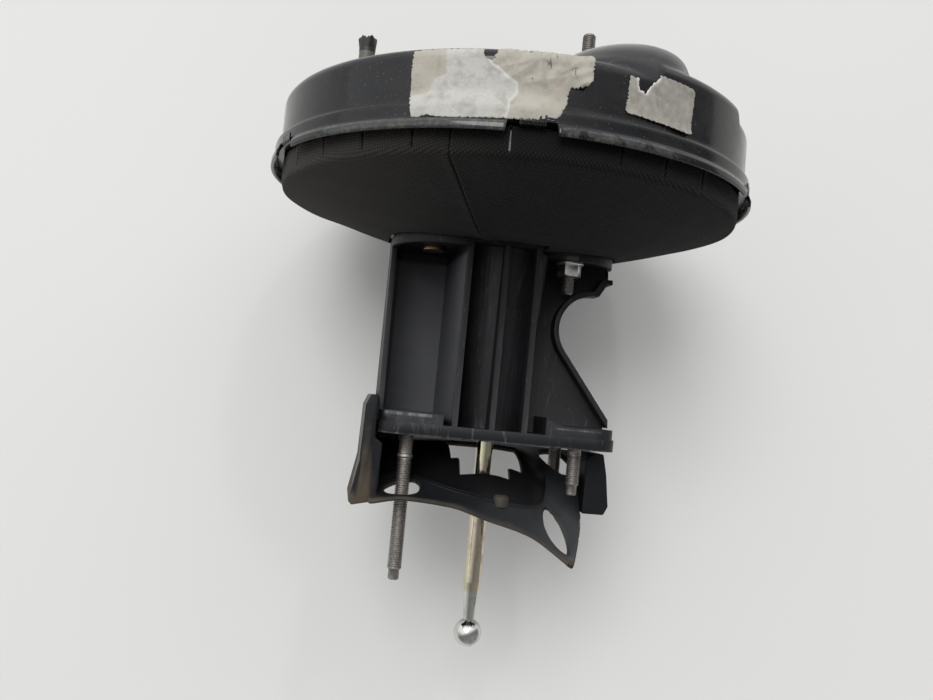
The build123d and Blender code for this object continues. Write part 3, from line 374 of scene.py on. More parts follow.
# %% Scuffed glass-filled plastic of the spacer
def band(f, source, low, high, soft):
    """1 where a coordinate in metres lies between low and high, in millimetres, with soft ends."""
    up = f.above(f.math("MULTIPLY_ADD", source, 1 / (soft * MM), -low / soft), 0.0, 1.0)
    down = f.above(f.math("MULTIPLY_ADD", source, -1 / (soft * MM), high / soft), 0.0, 1.0)
    return f.times(up, down)


# Pale lines along the front edges of the flange and the ledges: partly scuffed wear, partly a painted highlight
# of the rounded edges.
EDGE_SCUFFS_AND_HIGHLIGHTS = [((-61.6, 9.9), (-35.4, 12.3)), ((32.3, 9.7), (58.5, 11.1)), ((-66.0, -0.2), (64.0, 0.9))]


def filled_plastic():
    """Black plastic with a paler tone in the open bay, painted light for the light that falls into that deep
    recess, with scuffs along its edges, partly painted highlights, and streaks along its draw."""
    f = Finish("filled_plastic", (0.010, 0.010, 0.011), 0.5, Specular_IOR_Level=0.24)
    x, y, z = (f.axis(f.place, k) for k in range(3))
    cloud = f.noise(30, 5, 0.6)
    grain = f.noise(1500, 2, 0.5)
    streaks = f.noise(60, 6, 0.65, source=f.scaled((6.0, 0.8, 6.0)), distortion=0.6)
    scuffs = f.above(streaks, 0.58, 0.74)
    speckle = f.above(f.noise(800, 3, 0.6), 0.64, 0.72)
    base = f.mix(f.above(cloud, 0.3, 0.75), (0.007, 0.007, 0.008), (0.015, 0.015, 0.017))
    # Painted light: the open bay beside the tube gets a paler tone that stands in for light falling into the
    # deep recess.
    bay = f.times(band(f, x, -62, -23, 2),
                  f.times(band(f, y, 8, 104, 3), band(f, z, -40, 34, 3)))
    paler_tone = f.mix(cloud, (0.050, 0.051, 0.056), (0.105, 0.106, 0.112))
    base = f.mix(bay, base, paler_tone)
    front = band(f, z, 33, 40, 3)
    base = f.mix(f.times(front, f.ramp(cloud, (0.30, 0.3), (0.60, 1.0))), base, (0.011, 0.012, 0.014))
    base = f.mix(f.times(scuffs, f.math("MULTIPLY_ADD", front, 0.35, 0.25)), base, (0.13, 0.13, 0.14))
    base = f.mix(f.times(speckle, 0.2), base, (0.18, 0.18, 0.18))
    # Scuffed wear and painted highlights along the listed edge lines.
    for low, high in EDGE_SCUFFS_AND_HIGHLIGHTS:
        where = f.times(band(f, x, low[0], high[0], 1.2), band(f, y, low[1], high[1], 0.8))
        share = f.times(f.times(where, band(f, z, 26, 45, 1)), f.ramp(streaks, (0.40, 0.1), (0.62, 0.8)))
        base = f.mix(share, base, (0.19, 0.19, 0.195))
    f.set("Base Color", base)
    f.set("Roughness", f.between(cloud, 0.38, 0.60))
    f.bump(f.plus(grain, f.times(cloud, 2.0)), 0.25, 0.0003)
    return f.material


# %% Zinc of the fixings
def fixing_zinc():
    """Bright zinc on the right tie nut and its washer, and brown dirty zinc on the left cap."""
    f = Finish("fixing_zinc", (0.55, 0.54, 0.52), 0.3, 1.0)
    side = f.above(f.math("MULTIPLY_ADD", f.axis(f.place, 0), 10.0, 0.5), 0.45, 0.55)
    cloud = f.noise(190, 5, 0.65)
    spots = f.above(f.noise(520, 3, 0.6), 0.48, 0.66)
    bright = f.mix(f.times(spots, f.times(cloud, 0.6)), (0.88, 0.87, 0.84), (0.25, 0.21, 0.17))
    brown = f.mix(spots, (0.32, 0.24, 0.15), (0.09, 0.065, 0.045))
    f.set("Base Color", f.mix(side, brown, bright))
    f.set("Roughness", f.between(cloud, 0.22, 0.50))
    f.bump(f.noise(900, 3), 0.2, 0.0002)
    return f.material


# %% Plain finishes of the small and the hidden pieces
def dull_steel(name="dull_steel", light=(0.30, 0.28, 0.26), dark=(0.10, 0.085, 0.07)):
    """Zinc gone grey and brown, with dirt in its hollows."""
    f = Finish(name, light, 0.45, 1.0)
    cloud = f.noise(160, 5, 0.65)
    spots = f.above(f.noise(900, 3, 0.6), 0.45, 0.65)
    f.set("Base Color", f.mix(f.times(spots, cloud), light, dark))
    f.set("Roughness", f.between(cloud, 0.35, 0.65))
    f.bump(f.noise(1200, 3), 0.2, 0.0002)
    return f.material


def rubber(name="black_rubber", colour=(0.022, 0.022, 0.023), paler_tone=(0.075, 0.065, 0.052)):
    """Smooth rubber with brown dust, thickest where the dust attribute says."""
    f = Finish(name, colour, 0.5, 0.0, Specular_IOR_Level=0.4)
    cloud = f.noise(90, 6, 0.62)
    grit = f.noise(1300, 3, 0.6)
    where = f.plus(f.layer("dust"), f.times(cloud, 0.55))
    share = f.above(f.plus(where, f.times(grit, 0.25)), 0.45, 1.15)
    f.set("Base Color", f.mix(share, colour, paler_tone))
    f.set("Roughness", f.between(share, 0.42, 0.88))
    f.bump(f.plus(f.times(cloud, 0.6), f.times(grit, 0.2)), 0.25, 0.0004)
    return f.material


def gasket_rubber():
    """Near-black rubber with a blue-grey painted reflection of the sky, brown dust and chalky dirt, each where
    its attribute says.
    """
    f = Finish("gasket_rubber", (0.010, 0.010, 0.011), 0.45, 0.0, Specular_IOR_Level=0.16)
    cloud = f.noise(70, 6, 0.62)
    grit = f.noise(1100, 3, 0.6)
    blotch = f.noise(240, 5, 0.68)
    # Painted light: blue-grey where the rubber would reflect the sky, and near-black inside the moulded line as
    # painted shade.
    painted_sky_reflection = f.times(f.layer("painted_sky_reflection"), f.ramp(cloud, (0.25, 0.55), (0.75, 1.0)))
    coat = f.mix(painted_sky_reflection, (0.0040, 0.0040, 0.0046), (0.040, 0.043, 0.046))
    paler_tone = f.above(f.plus(f.layer("dust"), f.times(cloud, 0.6)), 0.50, 1.20)
    coat = f.mix(paler_tone, coat, f.mix(grit, (0.045, 0.036, 0.026), (0.105, 0.086, 0.064)))
    chalk = f.plus(f.layer("chalk"), f.times(blotch, 1.3))
    chalky = f.above(chalk, 1.30, 1.62)
    f.set("Base Color", f.mix(chalky, coat, f.mix(grit, (0.13, 0.125, 0.11), (0.30, 0.29, 0.26))))
    f.set("Roughness", f.mix(f.math("MAXIMUM", paler_tone, chalky), (0.40,) * 3, (0.90,) * 3))
    f.bump(f.plus(f.times(blotch, f.plus(chalky, 0.12)), f.times(grit, 0.15)), 0.5, 0.0005)
    return f.material


def moulded_plastic(name, colour):
    f = Finish(name, colour, 0.5)
    f.set("Base Color", f.mix(f.noise(60, 4), tuple(0.7 * c for c in colour), tuple(1.2 * c for c in colour)))
    f.bump(f.noise(900, 3), 0.15, 0.0002)
    return f.material


# %% Torn paper
def torn_paper():
    """Blank label stock: a white face, the cream layer under it, brown stains, patches of dirt, and painted
    shade along the folds.
    """
    f = Finish("torn_paper", (0.62, 0.61, 0.57), 0.85)
    cloud = f.noise(70, 6, 0.62)
    fine = f.noise(650, 4, 0.65)
    face = f.mix(fine, (0.37, 0.36, 0.33), (0.52, 0.51, 0.48))
    below = f.mix(cloud, (0.27, 0.245, 0.20), (0.48, 0.45, 0.39))
    coat = f.mix(f.layer("under"), face, below)
    stains = f.above(f.noise(120, 6, 0.7), 0.50, 0.68)
    coat = f.mix(f.times(stains, 0.45), coat, (0.19, 0.165, 0.125))
    # Painted shade: dark brown along the large label's folds; on the small label the same mix gives patches of
    # dirt.
    dirt = f.above(f.plus(f.layer("crease_shade_and_dirt"), f.times(f.noise(300, 4), 0.5)), 0.45, 1.1)
    coat = f.mix(f.times(dirt, 0.8), coat, (0.085, 0.070, 0.055))
    f.set("Base Color", f.mix(f.layer("torn"), coat, (0.66, 0.65, 0.62)))
    f.bump(f.plus(fine, f.times(cloud, 2.0)), 0.3, 0.0003)
    return f.material


# %% Yellow zinc of the input rod
def yellow_zinc():
    """Chromated zinc on the shank, whose thin film drifts from straw to green. It is worn off the taper and
    the ball."""
    f = Finish("yellow_zinc", (0.55, 0.47, 0.28), 0.22, 1.0)
    drift = f.noise(28, 3, 0.5, source=f.scaled((1.0, 0.35, 1.0)))
    film = f.ramp(drift, (0.30, (0.66, 0.60, 0.42)), (0.46, (0.58, 0.57, 0.38)), (0.58, (0.64, 0.54, 0.44)),
                  (0.70, (0.70, 0.63, 0.44)))
    stains = f.above(f.noise(200, 5, 0.7, source=f.scaled((1.0, 0.5, 1.0))), 0.50, 0.70)
    film = f.mix(f.times(stains, 0.55), film, (0.12, 0.085, 0.05))
    y = f.axis(f.place, 1)
    bare = f.mix(stains, (0.66, 0.65, 0.62), (0.30, 0.28, 0.25))
    worn = band(f, y, -135, -86, 2)
    f.set("Base Color", f.mix(worn, film, bare))
    f.set("Roughness", f.between(stains, 0.13, 0.38))
    f.bump(f.noise(500, 4), 0.12, 0.0002)
    return f.material


# %% Woven mat
def woven_mat():
    """Coarse black weave in the mat's own flat coordinates: over-and-under ribs at right angles."""
    f = Finish("woven_mat", (0.010, 0.010, 0.011), 0.9, 0.0, Specular_IOR_Level=0.12, Sheen_Weight=0.05)
    flat = f.layer("flat", "Vector")
    u, v = f.axis(flat, 0), f.axis(flat, 1)
    pitch = 2 * math.pi / 1.9
    over = f.math("SINE", f.times(u, pitch))
    under = f.math("SINE", f.times(v, pitch))
    weave = f.times(over, under)
    tufts = f.above(weave, 0.0, 0.9)
    cloud = f.noise(26, 6, 0.65)
    woven = f.mix(f.times(tufts, cloud), (0.006, 0.006, 0.006), (0.026, 0.024, 0.022))
    paler_tone = f.mix(f.math("MULTIPLY_ADD", tufts, 0.7, 0.3), (0.018, 0.016, 0.014), (0.085, 0.076, 0.066))
    # Lighter and browner towards the mat's left side.
    side = f.ramp(f.math("MULTIPLY_ADD", f.axis(f.place, 0), -8.0, -0.05), (0.1, 0.0), (1.0, 0.75))
    f.set("Base Color", f.mix(side, woven, paler_tone))
    f.bump(f.plus(weave, f.times(f.noise(700, 3), 0.6)), 0.6, 0.0004)
    return f.material


FINISHES = {
    "black_enamel": black_enamel(),
    "woven_mat": woven_mat(),
    "filled_plastic": filled_plastic(),
    "valve_plastic": moulded_plastic("valve_plastic", (0.10, 0.09, 0.07)),
    "dull_steel": dull_steel(),
    "fixing_zinc": fixing_zinc(),
    "yellow_zinc": yellow_zinc(),
    "spring_steel": dull_steel("spring_steel", (0.26, 0.26, 0.27), (0.08, 0.08, 0.08)),
    "black_rubber": rubber(),
    "gasket_rubber": gasket_rubber(),
    "brown_rubber": rubber("brown_rubber", (0.022, 0.020, 0.016), (0.065, 0.055, 0.042)),
    "torn_paper": torn_paper(),
    "broken_plastic": moulded_plastic("broken_plastic", (0.012, 0.012, 0.013)),
    "filter_foam": moulded_plastic("filter_foam", (0.03, 0.03, 0.03)),
}
slots = {s["node"]: s["material_slot"] for s in frame["record"]["subparts"]}
for node, made in frame["nodes"].items():
    made.data.materials.clear()
    made.data.materials.append(FINISHES[slots[node]])
print("finishes", sorted(FINISHES))


# %% [markdown]
# ## Front shell
# The drum is one deep pressing. Its outline is a profile turned about Y, and its front face is a height
# over the plane: a lopsided dome and a raised shoulder. Writing both as formulas gives clean highlights,
# which a drum of this size lives by. The rim is cut by notches, where tabs are bent in to hold the rear
# shell.

# %% Height of the dome and the shoulder
WALL_RADIUS = 132.5
SKIRT_RADIUS = 135.5
WALL_CORNER = 6.0
FACE_Y = 180.0
SEAT_Y = 206.0
SHEET = 1.5
DOME_RADIUS = 37.7
DOME_HEIGHT = 25.2
DOME_PLACE = (33.74, 86.98)
DOME_DRIFT = (12.4, -7.7)
FOOT_START, FOOT_END = 0.93, 1.054
SHOULDER_RISE = 6.5


def dome_height(x, z):
    """Level s of the dome is a circle of radius s, whose centre drifts by 1 - s**3.4 on the way up.

    The level's height is (1 - s**3)**0.61 of the whole. Halving a range 22 times finds s for every point at
    once. Outside s = 0.93 a straight foot runs down to the face.
    """
    u, v = (x - DOME_PLACE[0]) / DOME_RADIUS, (z - DOME_PLACE[1]) / DOME_RADIUS
    low, high = np.zeros_like(u), np.ones_like(u)
    for _ in range(22):
        s = (low + high) / 2
        drift = (1 - s**3.4) / DOME_RADIUS
        outside = np.hypot(u - DOME_DRIFT[0] * drift, v - DOME_DRIFT[1] * drift) > s
        low, high = np.where(outside, s, low), np.where(outside, high, s)
    far = np.hypot(u, v)
    s = np.where(far > 1, far, high)
    crown = (1 - np.minimum(s, FOOT_START) ** 3) ** 0.61
    return DOME_HEIGHT * crown * np.clip((FOOT_END - s) / (FOOT_END - FOOT_START), 0, 1)


def shoulder_rise(angle):
    """Height of the flat step at an angle in degrees: it lies between two angles and has rounded sides."""
    return SHOULDER_RISE * smooth_step(18.8, 21.2, angle) * (1 - smooth_step(49.6, 52.2, angle))


def shoulder_height(angle, radius):
    """The step's height over the face. It starts 96 mm from the axis."""
    return shoulder_rise(angle) * smooth_step(93.5, 98.5, radius)


print("dome", DOME_HEIGHT, "mm high, shoulder", SHOULDER_RISE, "mm")


# %% Front shell
LANCED = np.array([-69.0, -6.0, 60.0, 111.0, 174.0, -120.0])
NOTCH_HALF = 4.86
CRIMP_Y = 146.0
EDGE_Y = 140.4
LIFT_DEPTH = 14.0


def turn_between(a, b):
    """Smallest turn from b to a in degrees."""
    return (a - b + 180) % 360 - 180


def drum_angles():
    """Angles in degrees, close together on the side that shows most and at the notches, and wide elsewhere."""
    grid = np.arange(-180, 180, 0.36)
    close = (grid > -16) & (grid < 62)
    for centre in LANCED:
        close |= np.abs(turn_between(grid, centre)) < 5.8
    return grid[close | (np.arange(len(grid)) % 4 == 0)]


def drum_profile():
    """Closed loop of (radius, y): the outer side from the rim to the spigot hole, and the inner side back."""
    outer = rounded_path(
        [(137.0, EDGE_Y), (137.0, 143.6), (SKIRT_RADIUS, 145.9), (SKIRT_RADIUS, 152.0), (WALL_RADIUS, 153.0),
         (WALL_RADIUS, FACE_Y), (70.0, FACE_Y), (52.0, SEAT_Y), (23.0, SEAT_Y), (23.0, 198.0)],
        [0.8, 0.9, 1.0, 1.3, WALL_CORNER, 4.0, 4.0, 1.5], 0.7)
    inner = rounded_path(
        [(24.5, 198.0), (24.5, SEAT_Y - SHEET), (51.0, SEAT_Y - SHEET), (69.0, FACE_Y - SHEET),
         (131.0, FACE_Y - SHEET), (131.0, 154.2), (134.0, 153.2), (134.0, 145.4), (135.5, 143.1),
         (135.5, EDGE_Y)],
        [1.0, 4.0, 4.0, 4.5, 1.0, 1.0, 1.0, 0.8], 2.0)
    return np.concatenate([divided(outer, 1.7), divided(inner, 6.0)])


def front_shell():
    profile = drum_profile()
    degrees = drum_angles()
    points = lathe(profile, np.radians(degrees))
    radius, y = profile[:, 0][:, None] + 0 * degrees, profile[:, 1][:, None] + 0 * degrees
    # Dome and shoulder on the face, its rounded corner and the top of the wall.
    high = (y > FACE_Y - LIFT_DEPTH) & (radius > 70)
    dome = dome_height(points[..., 0], points[..., 2])
    lift = soft_max(dome, shoulder_height(degrees[None, :], radius), 1.2)
    lift = (lift - 0.6) * np.clip((y - (FACE_Y - LIFT_DEPTH)) / 8, 0, 1) ** 2
    points[..., 1] += np.where(high, np.maximum(lift, 0), 0)
    # Notches: the rim's edge is pulled up to the crimp.
    nearest = np.min(np.abs(turn_between(degrees[None, :], LANCED[:, None])), axis=0)[None, :]
    notched = (nearest < NOTCH_HALF) & (y < CRIMP_Y + 1.5)
    pulled = CRIMP_Y + (y - EDGE_Y) / (CRIMP_Y + 1.5 - EDGE_Y) * 1.5
    drawn = np.where(notched & (radius > 135.6), SKIRT_RADIUS, radius) / radius
    points[..., 1] = np.where(notched, pulled, points[..., 1])
    points[..., 0] *= drawn
    points[..., 2] *= drawn
    # Rust is a bare band beside the tab. Wear runs along the rim on both its sides and along the step.
    low = 1 - smooth_step(144.5, 146.0, y)
    rust = 0.78 * low * smooth_step(0.2, 1.5, degrees) * (1 - smooth_step(11, 13, degrees))
    left = smooth_step(-66, -40, degrees) * (1 - smooth_step(-10, -7, degrees))
    right = smooth_step(-3, 0, degrees) * (1 - smooth_step(20, 34, degrees))
    worn = low * np.maximum(0.25 + 0.42 * left, 0.25 + 0.3 * right)
    worn = np.maximum(worn, (radius > 131) * 0.42 * np.exp(-((y - 152.3) / 0.9) ** 2))
    rows, columns = radius.shape
    faces = grid_faces(rows, columns, wrap_rows=True, wrap_columns=True)
    return piece("drum_shell", points, faces, FINISHES["black_enamel"], "housing",
                 {"rust": rust, "worn": worn}, close=True)


drum = front_shell()
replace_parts(drum, "front_shell")


# %% Lanced tabs
def turned_segment(loop, degrees):
    """A closed (radius, y) loop carried round an arc, with flat ends."""
    points = lathe(np.asarray(loop, float), np.radians(degrees))
    rows, columns = points.shape[:2]
    faces = grid_faces(rows, columns, wrap_rows=True).tolist()
    faces.append([r * columns for r in range(rows)])
    faces.append([r * columns + columns - 1 for r in range(rows)][::-1])
    return points, faces


def lanced_tabs():
    """Each tab leaves the skirt, turns in under the rear shell's flange and ends in a knurled edge."""
    outer = rounded_path([(135.7, 149.0), (135.7, 144.3), (130.0, 144.3)], [1.6], 0.4)
    inner = rounded_path([(130.0, 145.8), (134.2, 145.8), (134.2, 149.0)], [0.5], 0.4)
    loop = np.concatenate([outer, inner])
    teeth = np.linspace(-2.55, 2.55, 61)
    parts = []
    for centre in LANCED:
        points, faces = turned_segment(loop, centre + teeth)
        knurl = 1 + 0.0012 * np.sign(np.sin(np.radians(teeth) * 340))[None, :] * (loop[:, 0] > 134.9)[:, None]
        points[..., 0] *= knurl
        points[..., 2] *= knurl
        parts.append((points, faces))
    points, faces = joined(*parts)
    return piece("lanced_tabs", points, faces, FINISHES["black_enamel"], "housing",
                 {"rust": np.full(len(points), 0.44), "worn": np.full(len(points), 0.35)},
                 smooth=False, close=True)


lanced_tabs()


# %% [markdown]
# ## Rear mat
# A woven mat is glued to the rear shell in two halves. It is a thin sheet, so it is modelled as one surface
# and given its thickness by Solidify. Its inner edge follows the spacer's plate, and its side flaps are cut
# by slits.

# %% Outline of the hole in the mat
REAR_FLAT_Y = 112.0
FLAT_RADIUS = 62.0
CONE_SLOPE = 20.3 / 65.3
MAT_THICKNESS = 2.6
MAT_EDGE_RADIUS = 128.6
MAT_FLAP = 12.0
MAT_ROWS = 64
SLIT_HALF = 0.22
SEAM = -22.0
SLITS = np.array([-66.0, -54.0, -42.0, -30.0, -10.0, 13.0, 24.0, 36.0])


def in_polygon(x, z, corners):
    """Whether points lie in a polygon: an odd number of its sides is crossed on the way out."""
    inside = np.zeros(np.shape(x), bool)
    for (x0, z0), (x1, z1) in zip(corners, corners[1:] + corners[:1]):
        crosses = (z0 > z) != (z1 > z)
        at = x0 + (z - z0) / ((z1 - z0) or 1e-9) * (x1 - x0)
        inside ^= crosses & (x < at)
    return inside


def plate_reach(degrees, gap):
    """Distance from the axis to the edge of the spacer's front plate, plus a gap, for each direction."""
    r = np.arange(0, 95, 0.2)[:, None]
    a = np.radians(degrees)[None, :]
    x, z = r * np.sin(a), r * np.cos(a)
    edge = 36 + gap
    shapes = [
        in_polygon(x, z, [(-24, -edge), (-24, edge), (-28.5, edge), (-64.5 - gap, 0), (-64.5 - gap, -edge)]),
        (x < -28) & (z > -1) & (np.hypot(x + 28.5, z) < edge),
        (x > -25) & (x < 18.7 + gap) & (np.abs(z) < edge),
        np.hypot(x - 40.5, z) < 25 + gap,
        in_polygon(x, z, [(0, -edge), (57.5 + gap, -edge), (65.5 + gap, -28 - gap), (65.5 + gap, 0), (0, 0)]),
        np.hypot(x, z) < 27.3 + gap,
    ]
    inside = np.any(shapes, axis=0)
    return np.max(np.where(inside, r, 0), axis=0)


def mat_half(name, node, start, end):
    """Half of the mat between two angles in degrees, in rows from the hole over the cone to the flap's end.

    The cone's height is slope * (radius - 62) with a soft foot. The flat attribute holds the unrolled
    place: the arc length along the profile, in the direction of the angle.
    """
    degrees = np.arange(start + 0.15, end, 0.75)
    side = np.concatenate([SLITS, SLITS + 180])
    cuts = np.concatenate([side - SLIT_HALF, side + SLIT_HALF])
    cuts = start + (cuts - start) % 360
    degrees = np.unique(np.concatenate([degrees, [end - 0.15], cuts[cuts < end - 0.15]]))
    turns = np.radians(degrees)[None, :]
    share = np.linspace(0, 1, MAT_ROWS)[:, None]
    begin = plate_reach(degrees, 1.3)[None, :]
    radius = begin + (MAT_EDGE_RADIUS - begin) * share
    foot = soft_max(0 * radius, CONE_SLOPE * (radius - FLAT_RADIUS), 2.0)
    y = REAR_FLAT_Y - MAT_THICKNESS / 2 * 1.03 + foot
    down = np.linspace(0, 1, 9)[1:, None]
    corner = 1 - (1 - np.minimum(down * 5, 1)) ** 2
    flap_radius = MAT_EDGE_RADIUS + 0.5 * corner + 0 * degrees[None, :]
    flap_y = y[-1:] + 0.4 + MAT_FLAP * down
    near = np.min(np.abs(turn_between(degrees[None, :], side[:, None])), axis=0)[None, :]
    flap_radius = flap_radius + 0.9 * np.exp(-((near / 1.4) ** 2)) * down**1.5
    flap_radius = flap_radius + 0.35 * np.sin(turns * 31) * np.sin(turns * 7 + 1) * down
    length = np.concatenate([radius, MAT_EDGE_RADIUS + MAT_FLAP * down + 0 * degrees[None, :]])
    radius = np.concatenate([radius, flap_radius])
    y = np.concatenate([y, flap_y])
    edge = np.minimum(np.abs(turn_between(degrees, start)), np.abs(turn_between(degrees, end)))[None, :]
    away = np.radians(edge) * radius
    waves = 0.25 * np.sin(radius / 9 + turns * 5) * np.sin(turns * 9 + radius / 23)
    y -= 0.9 * np.exp(-((away / 3.5) ** 2)) + waves
    points = np.stack([radius * np.sin(turns), y, radius * np.cos(turns)], -1)
    rows, columns = radius.shape
    faces = grid_faces(rows, columns)
    row, column = faces[:, 0] // columns, faces[:, 0] % columns
    middle = (degrees[column] + degrees[np.minimum(column + 1, columns - 1)]) / 2
    cut = np.min(np.abs(turn_between(middle[None, :], side[:, None])), axis=0) < 0.2
    faces = faces[~(cut & (row >= MAT_ROWS))]
    flat = np.stack([length * np.sin(turns), length * np.cos(turns), 0 * length], -1)
    made = piece(name, points, faces, FINISHES["woven_mat"], "housing", {"flat": flat})
    thick = made.modifiers.new("thickness", "SOLIDIFY")
    thick.thickness = MAT_THICKNESS * MM
    thick.offset = 0
    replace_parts(made, node)
    return made


mat_half("mat_right", "rear_mat_right", SEAM, SEAM + 180)
mat_half("mat_left", "rear_mat_left", SEAM - 180, SEAM)


# %% [markdown]
# ## Studs and tie bolts
# A screw thread is a surface too: the radius falls in a V once per pitch along the axis, and the V turns
# with the angle, so radius = crest - depth * distance from the nearest crest of y / pitch - angle / full
# turn.

# %% Threads
THREAD_PITCH = 1.25
THREAD_DEPTH = 0.65


def bolt_points(stations, threads, x, z, columns=28):
    """Turned bolt about an axis parallel to Y through (x, z), cut by a thread between each pair in threads.

    stations are (y, radius) corners. The rows are a sixth of the pitch apart where there is thread.
    """
    stations = np.array(sorted(stations, key=lambda s: s[0]), float)
    rows = [stations[:, 0], stations[:, 0] + 1e-3]
    for low, high in threads:
        rows.append(np.arange(low, high, THREAD_PITCH / 6))
    y = np.unique(np.clip(np.concatenate(rows), stations[0, 0], stations[-1, 0]))
    crest = np.interp(y, stations[:, 0], stations[:, 1])[:, None]
    a = circle(columns)[None, :]
    phase = (y[:, None] / THREAD_PITCH - a / (2 * math.pi)) % 1
    groove = 1 - np.abs(2 * phase - 1)
    cut = np.zeros_like(y)
    for low, high in threads:
        cut = np.maximum(cut, np.clip(np.minimum(y - low, high - y) / 0.8, 0, 1))
    radius = np.maximum(crest - THREAD_DEPTH * (np.clip(groove * 1.5 - 0.25, 0, 1)) * cut[:, None], 0.01)
    points = np.stack([x + radius * np.sin(a), y[:, None] + 0 * a, z + radius * np.cos(a)], -1)
    faces = grid_faces(len(y), columns, wrap_columns=True).tolist()
    faces.append(list(range(columns))[::-1])
    faces.append([(len(y) - 1) * columns + c for c in range(columns)])
    return points, faces


STUD_X, STUD_Z = 47.3, 22.7
HEAD = [(0.01, 4.4), (6.5, 4.4), (6.51, 7), (9, 7)]
LONG = [(-79, 2.4), (-78.4, 3), (-73.6, 3), (-72.6, 3.95), (-12.8, 3.95), (-12.4, 4.35), (-10.9, 4.35),
        (-10.6, 3.75), (0, 3.75), *HEAD]
SHORT = [(-26, 2.4), (-25.4, 3), (-20.8, 3), (-19.8, 3.95), (-3.2, 3.95), (-2.9, 3.8), (0, 3.8), *HEAD]
SHORT_PLACES = [(STUD_X, STUD_Z), (STUD_X, -STUD_Z), (-STUD_X, -STUD_Z)]
points, faces = bolt_points(LONG, [(-72.6, -13)], -STUD_X, STUD_Z)
long_stud = piece("long_stud", points, faces, FINISHES["dull_steel"], "housing")
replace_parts(long_stud, "long_bulkhead_stud")
points, faces = joined(*(bolt_points(SHORT, [(-20, -3.2)], x, z) for x, z in SHORT_PLACES))
short_studs = piece("short_studs", points, faces, FINISHES["dull_steel"], "housing")
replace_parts(short_studs, "short_bulkhead_studs")


# %% Tie bolts
def tie_stations(rear, front):
    """Both threaded ends, the collar inside the rear shell and the flange inside the front one."""
    collar = [(113.5, 3.95), (113.51, 10), (115.4, 10), (115.41, 4.5)]
    flange = [(201.5, 4.5), (201.51, 6.0), (204.5, 6.0), (204.51, 4.3), (206, 4.3), (206.01, 3.95)]
    return [(rear, 2.8), (rear + 1, 3.95), *collar, *flange, (front - 1, 3.95), (front, 2.9)]


TIE_X = 40.5
for side, x, rear, front in (("left", -TIE_X, 106.6, 221.5), ("right", TIE_X, 88.9, 246.5)):
    points, faces = bolt_points(tie_stations(rear, front), [(rear, 112), (207, front)], x, 0)
    bolt = piece(f"tie_stud_{side}", points, faces, FINISHES["dull_steel"], "housing")
    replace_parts(bolt, f"tie_bolt_{side}")


# %% [markdown]
# ## Spacer and tie nuts
# The moulded spacer and the fixings keep their CAD shapes. Real edges catch the light because they are
# rounded, so each gets a copy whose doubled points are merged and whose real edges are bevelled.

# %% Merged and rounded copies
def merged_copy(node, name, finish, dissolve):
    """Copy of a CAD piece whose doubled points are merged, and whose flat faces are joined if dissolve is
    true."""
    source = frame["nodes"][node]
    work = bmesh.new()
    work.from_mesh(source.data)
    work.transform(source.matrix_world)
    bmesh.ops.remove_doubles(work, verts=work.verts, dist=2e-6)
    if dissolve:
        bmesh.ops.dissolve_limit(work, angle_limit=math.radians(0.6), verts=work.verts, edges=work.edges)
    mesh = bpy.data.meshes.new(name)
    work.to_mesh(mesh)
    work.free()
    mesh.polygons.foreach_set("use_smooth", [True] * len(mesh.polygons))
    mesh.materials.append(FINISHES[finish])
    made = bpy.data.objects.new(name, mesh)
    bpy.context.scene.collection.objects.link(made)
    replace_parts(made, node)
    return made


def rounded_copy(node, name, finish, width):
    """A merged copy whose edges over 35 degrees are rounded."""
    made = merged_copy(node, name, finish, True)
    bevel = made.modifiers.new("edges", "BEVEL")
    bevel.width = width * MM
    bevel.segments = 2
    bevel.limit_method = "ANGLE"
    bevel.angle_limit = math.radians(35)
    bevel.harden_normals = True
    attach(made, "housing")
    print(name, len(made.data.polygons), "faces before rounding")
    return made


rounded_copy("spacer", "moulded_spacer", "filled_plastic", 0.6)
rounded_copy("tie_nuts", "nut_and_cap", "fixing_zinc", 0.35)
rounded_copy("tie_washers", "washer", "fixing_zinc", 0.25)


# %% [markdown]
# ## Springs, diaphragm and boot
# These pieces change length when the booster works: one end is held and the other follows what it pushes on.
# Here each is a merged copy of its CAD piece, and the two ends it would follow are printed.

# %% Pieces that change length
def soft_copy(node, name, finish, moving, still):
    """A merged copy of a CAD piece with its placement baked into its points. moving and still are (body, y)
    pairs, one for each end.
    """
    made = merged_copy(node, name, finish, False)
    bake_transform(made)
    print(name, len(made.data.polygons), "faces, between", moving, "and", still)


SOFT_PIECES = [
    ("diaphragm", "rolling_diaphragm", "black_rubber", ("power_piston", 134.0), ("housing", 147.0)),
    ("return_spring", "main_spring", "spring_steel", ("power_piston", 121.0), ("housing", 203.0)),
    ("dust_boot", "pleated_boot", "black_rubber", ("power_piston", 62.7), ("housing", 104.0)),
    ("rod_return_spring", "rod_spring", "spring_steel", ("plunger", 85.2), ("power_piston", 95.2)),
    ("poppet_spring", "small_spring", "spring_steel", ("poppet", 105.0), ("power_piston", 96.7)),
    ("check_valve_spring", "check_spring", "spring_steel", ("check_disc", 188.6), ("housing", 192.5)),
]
for row in SOFT_PIECES:
    soft_copy(*row)


# %% [markdown]
# ## Gasket
# The rubber gasket was flat when new. It has slipped down the studs and sags towards the near right corner.
# A table of heights describes the warp, and cubic pieces through its rows give a sheet that never
# overshoots them. The sheet's thickness falls to nothing at its edges, which rounds every edge and hole
# with the same formula.

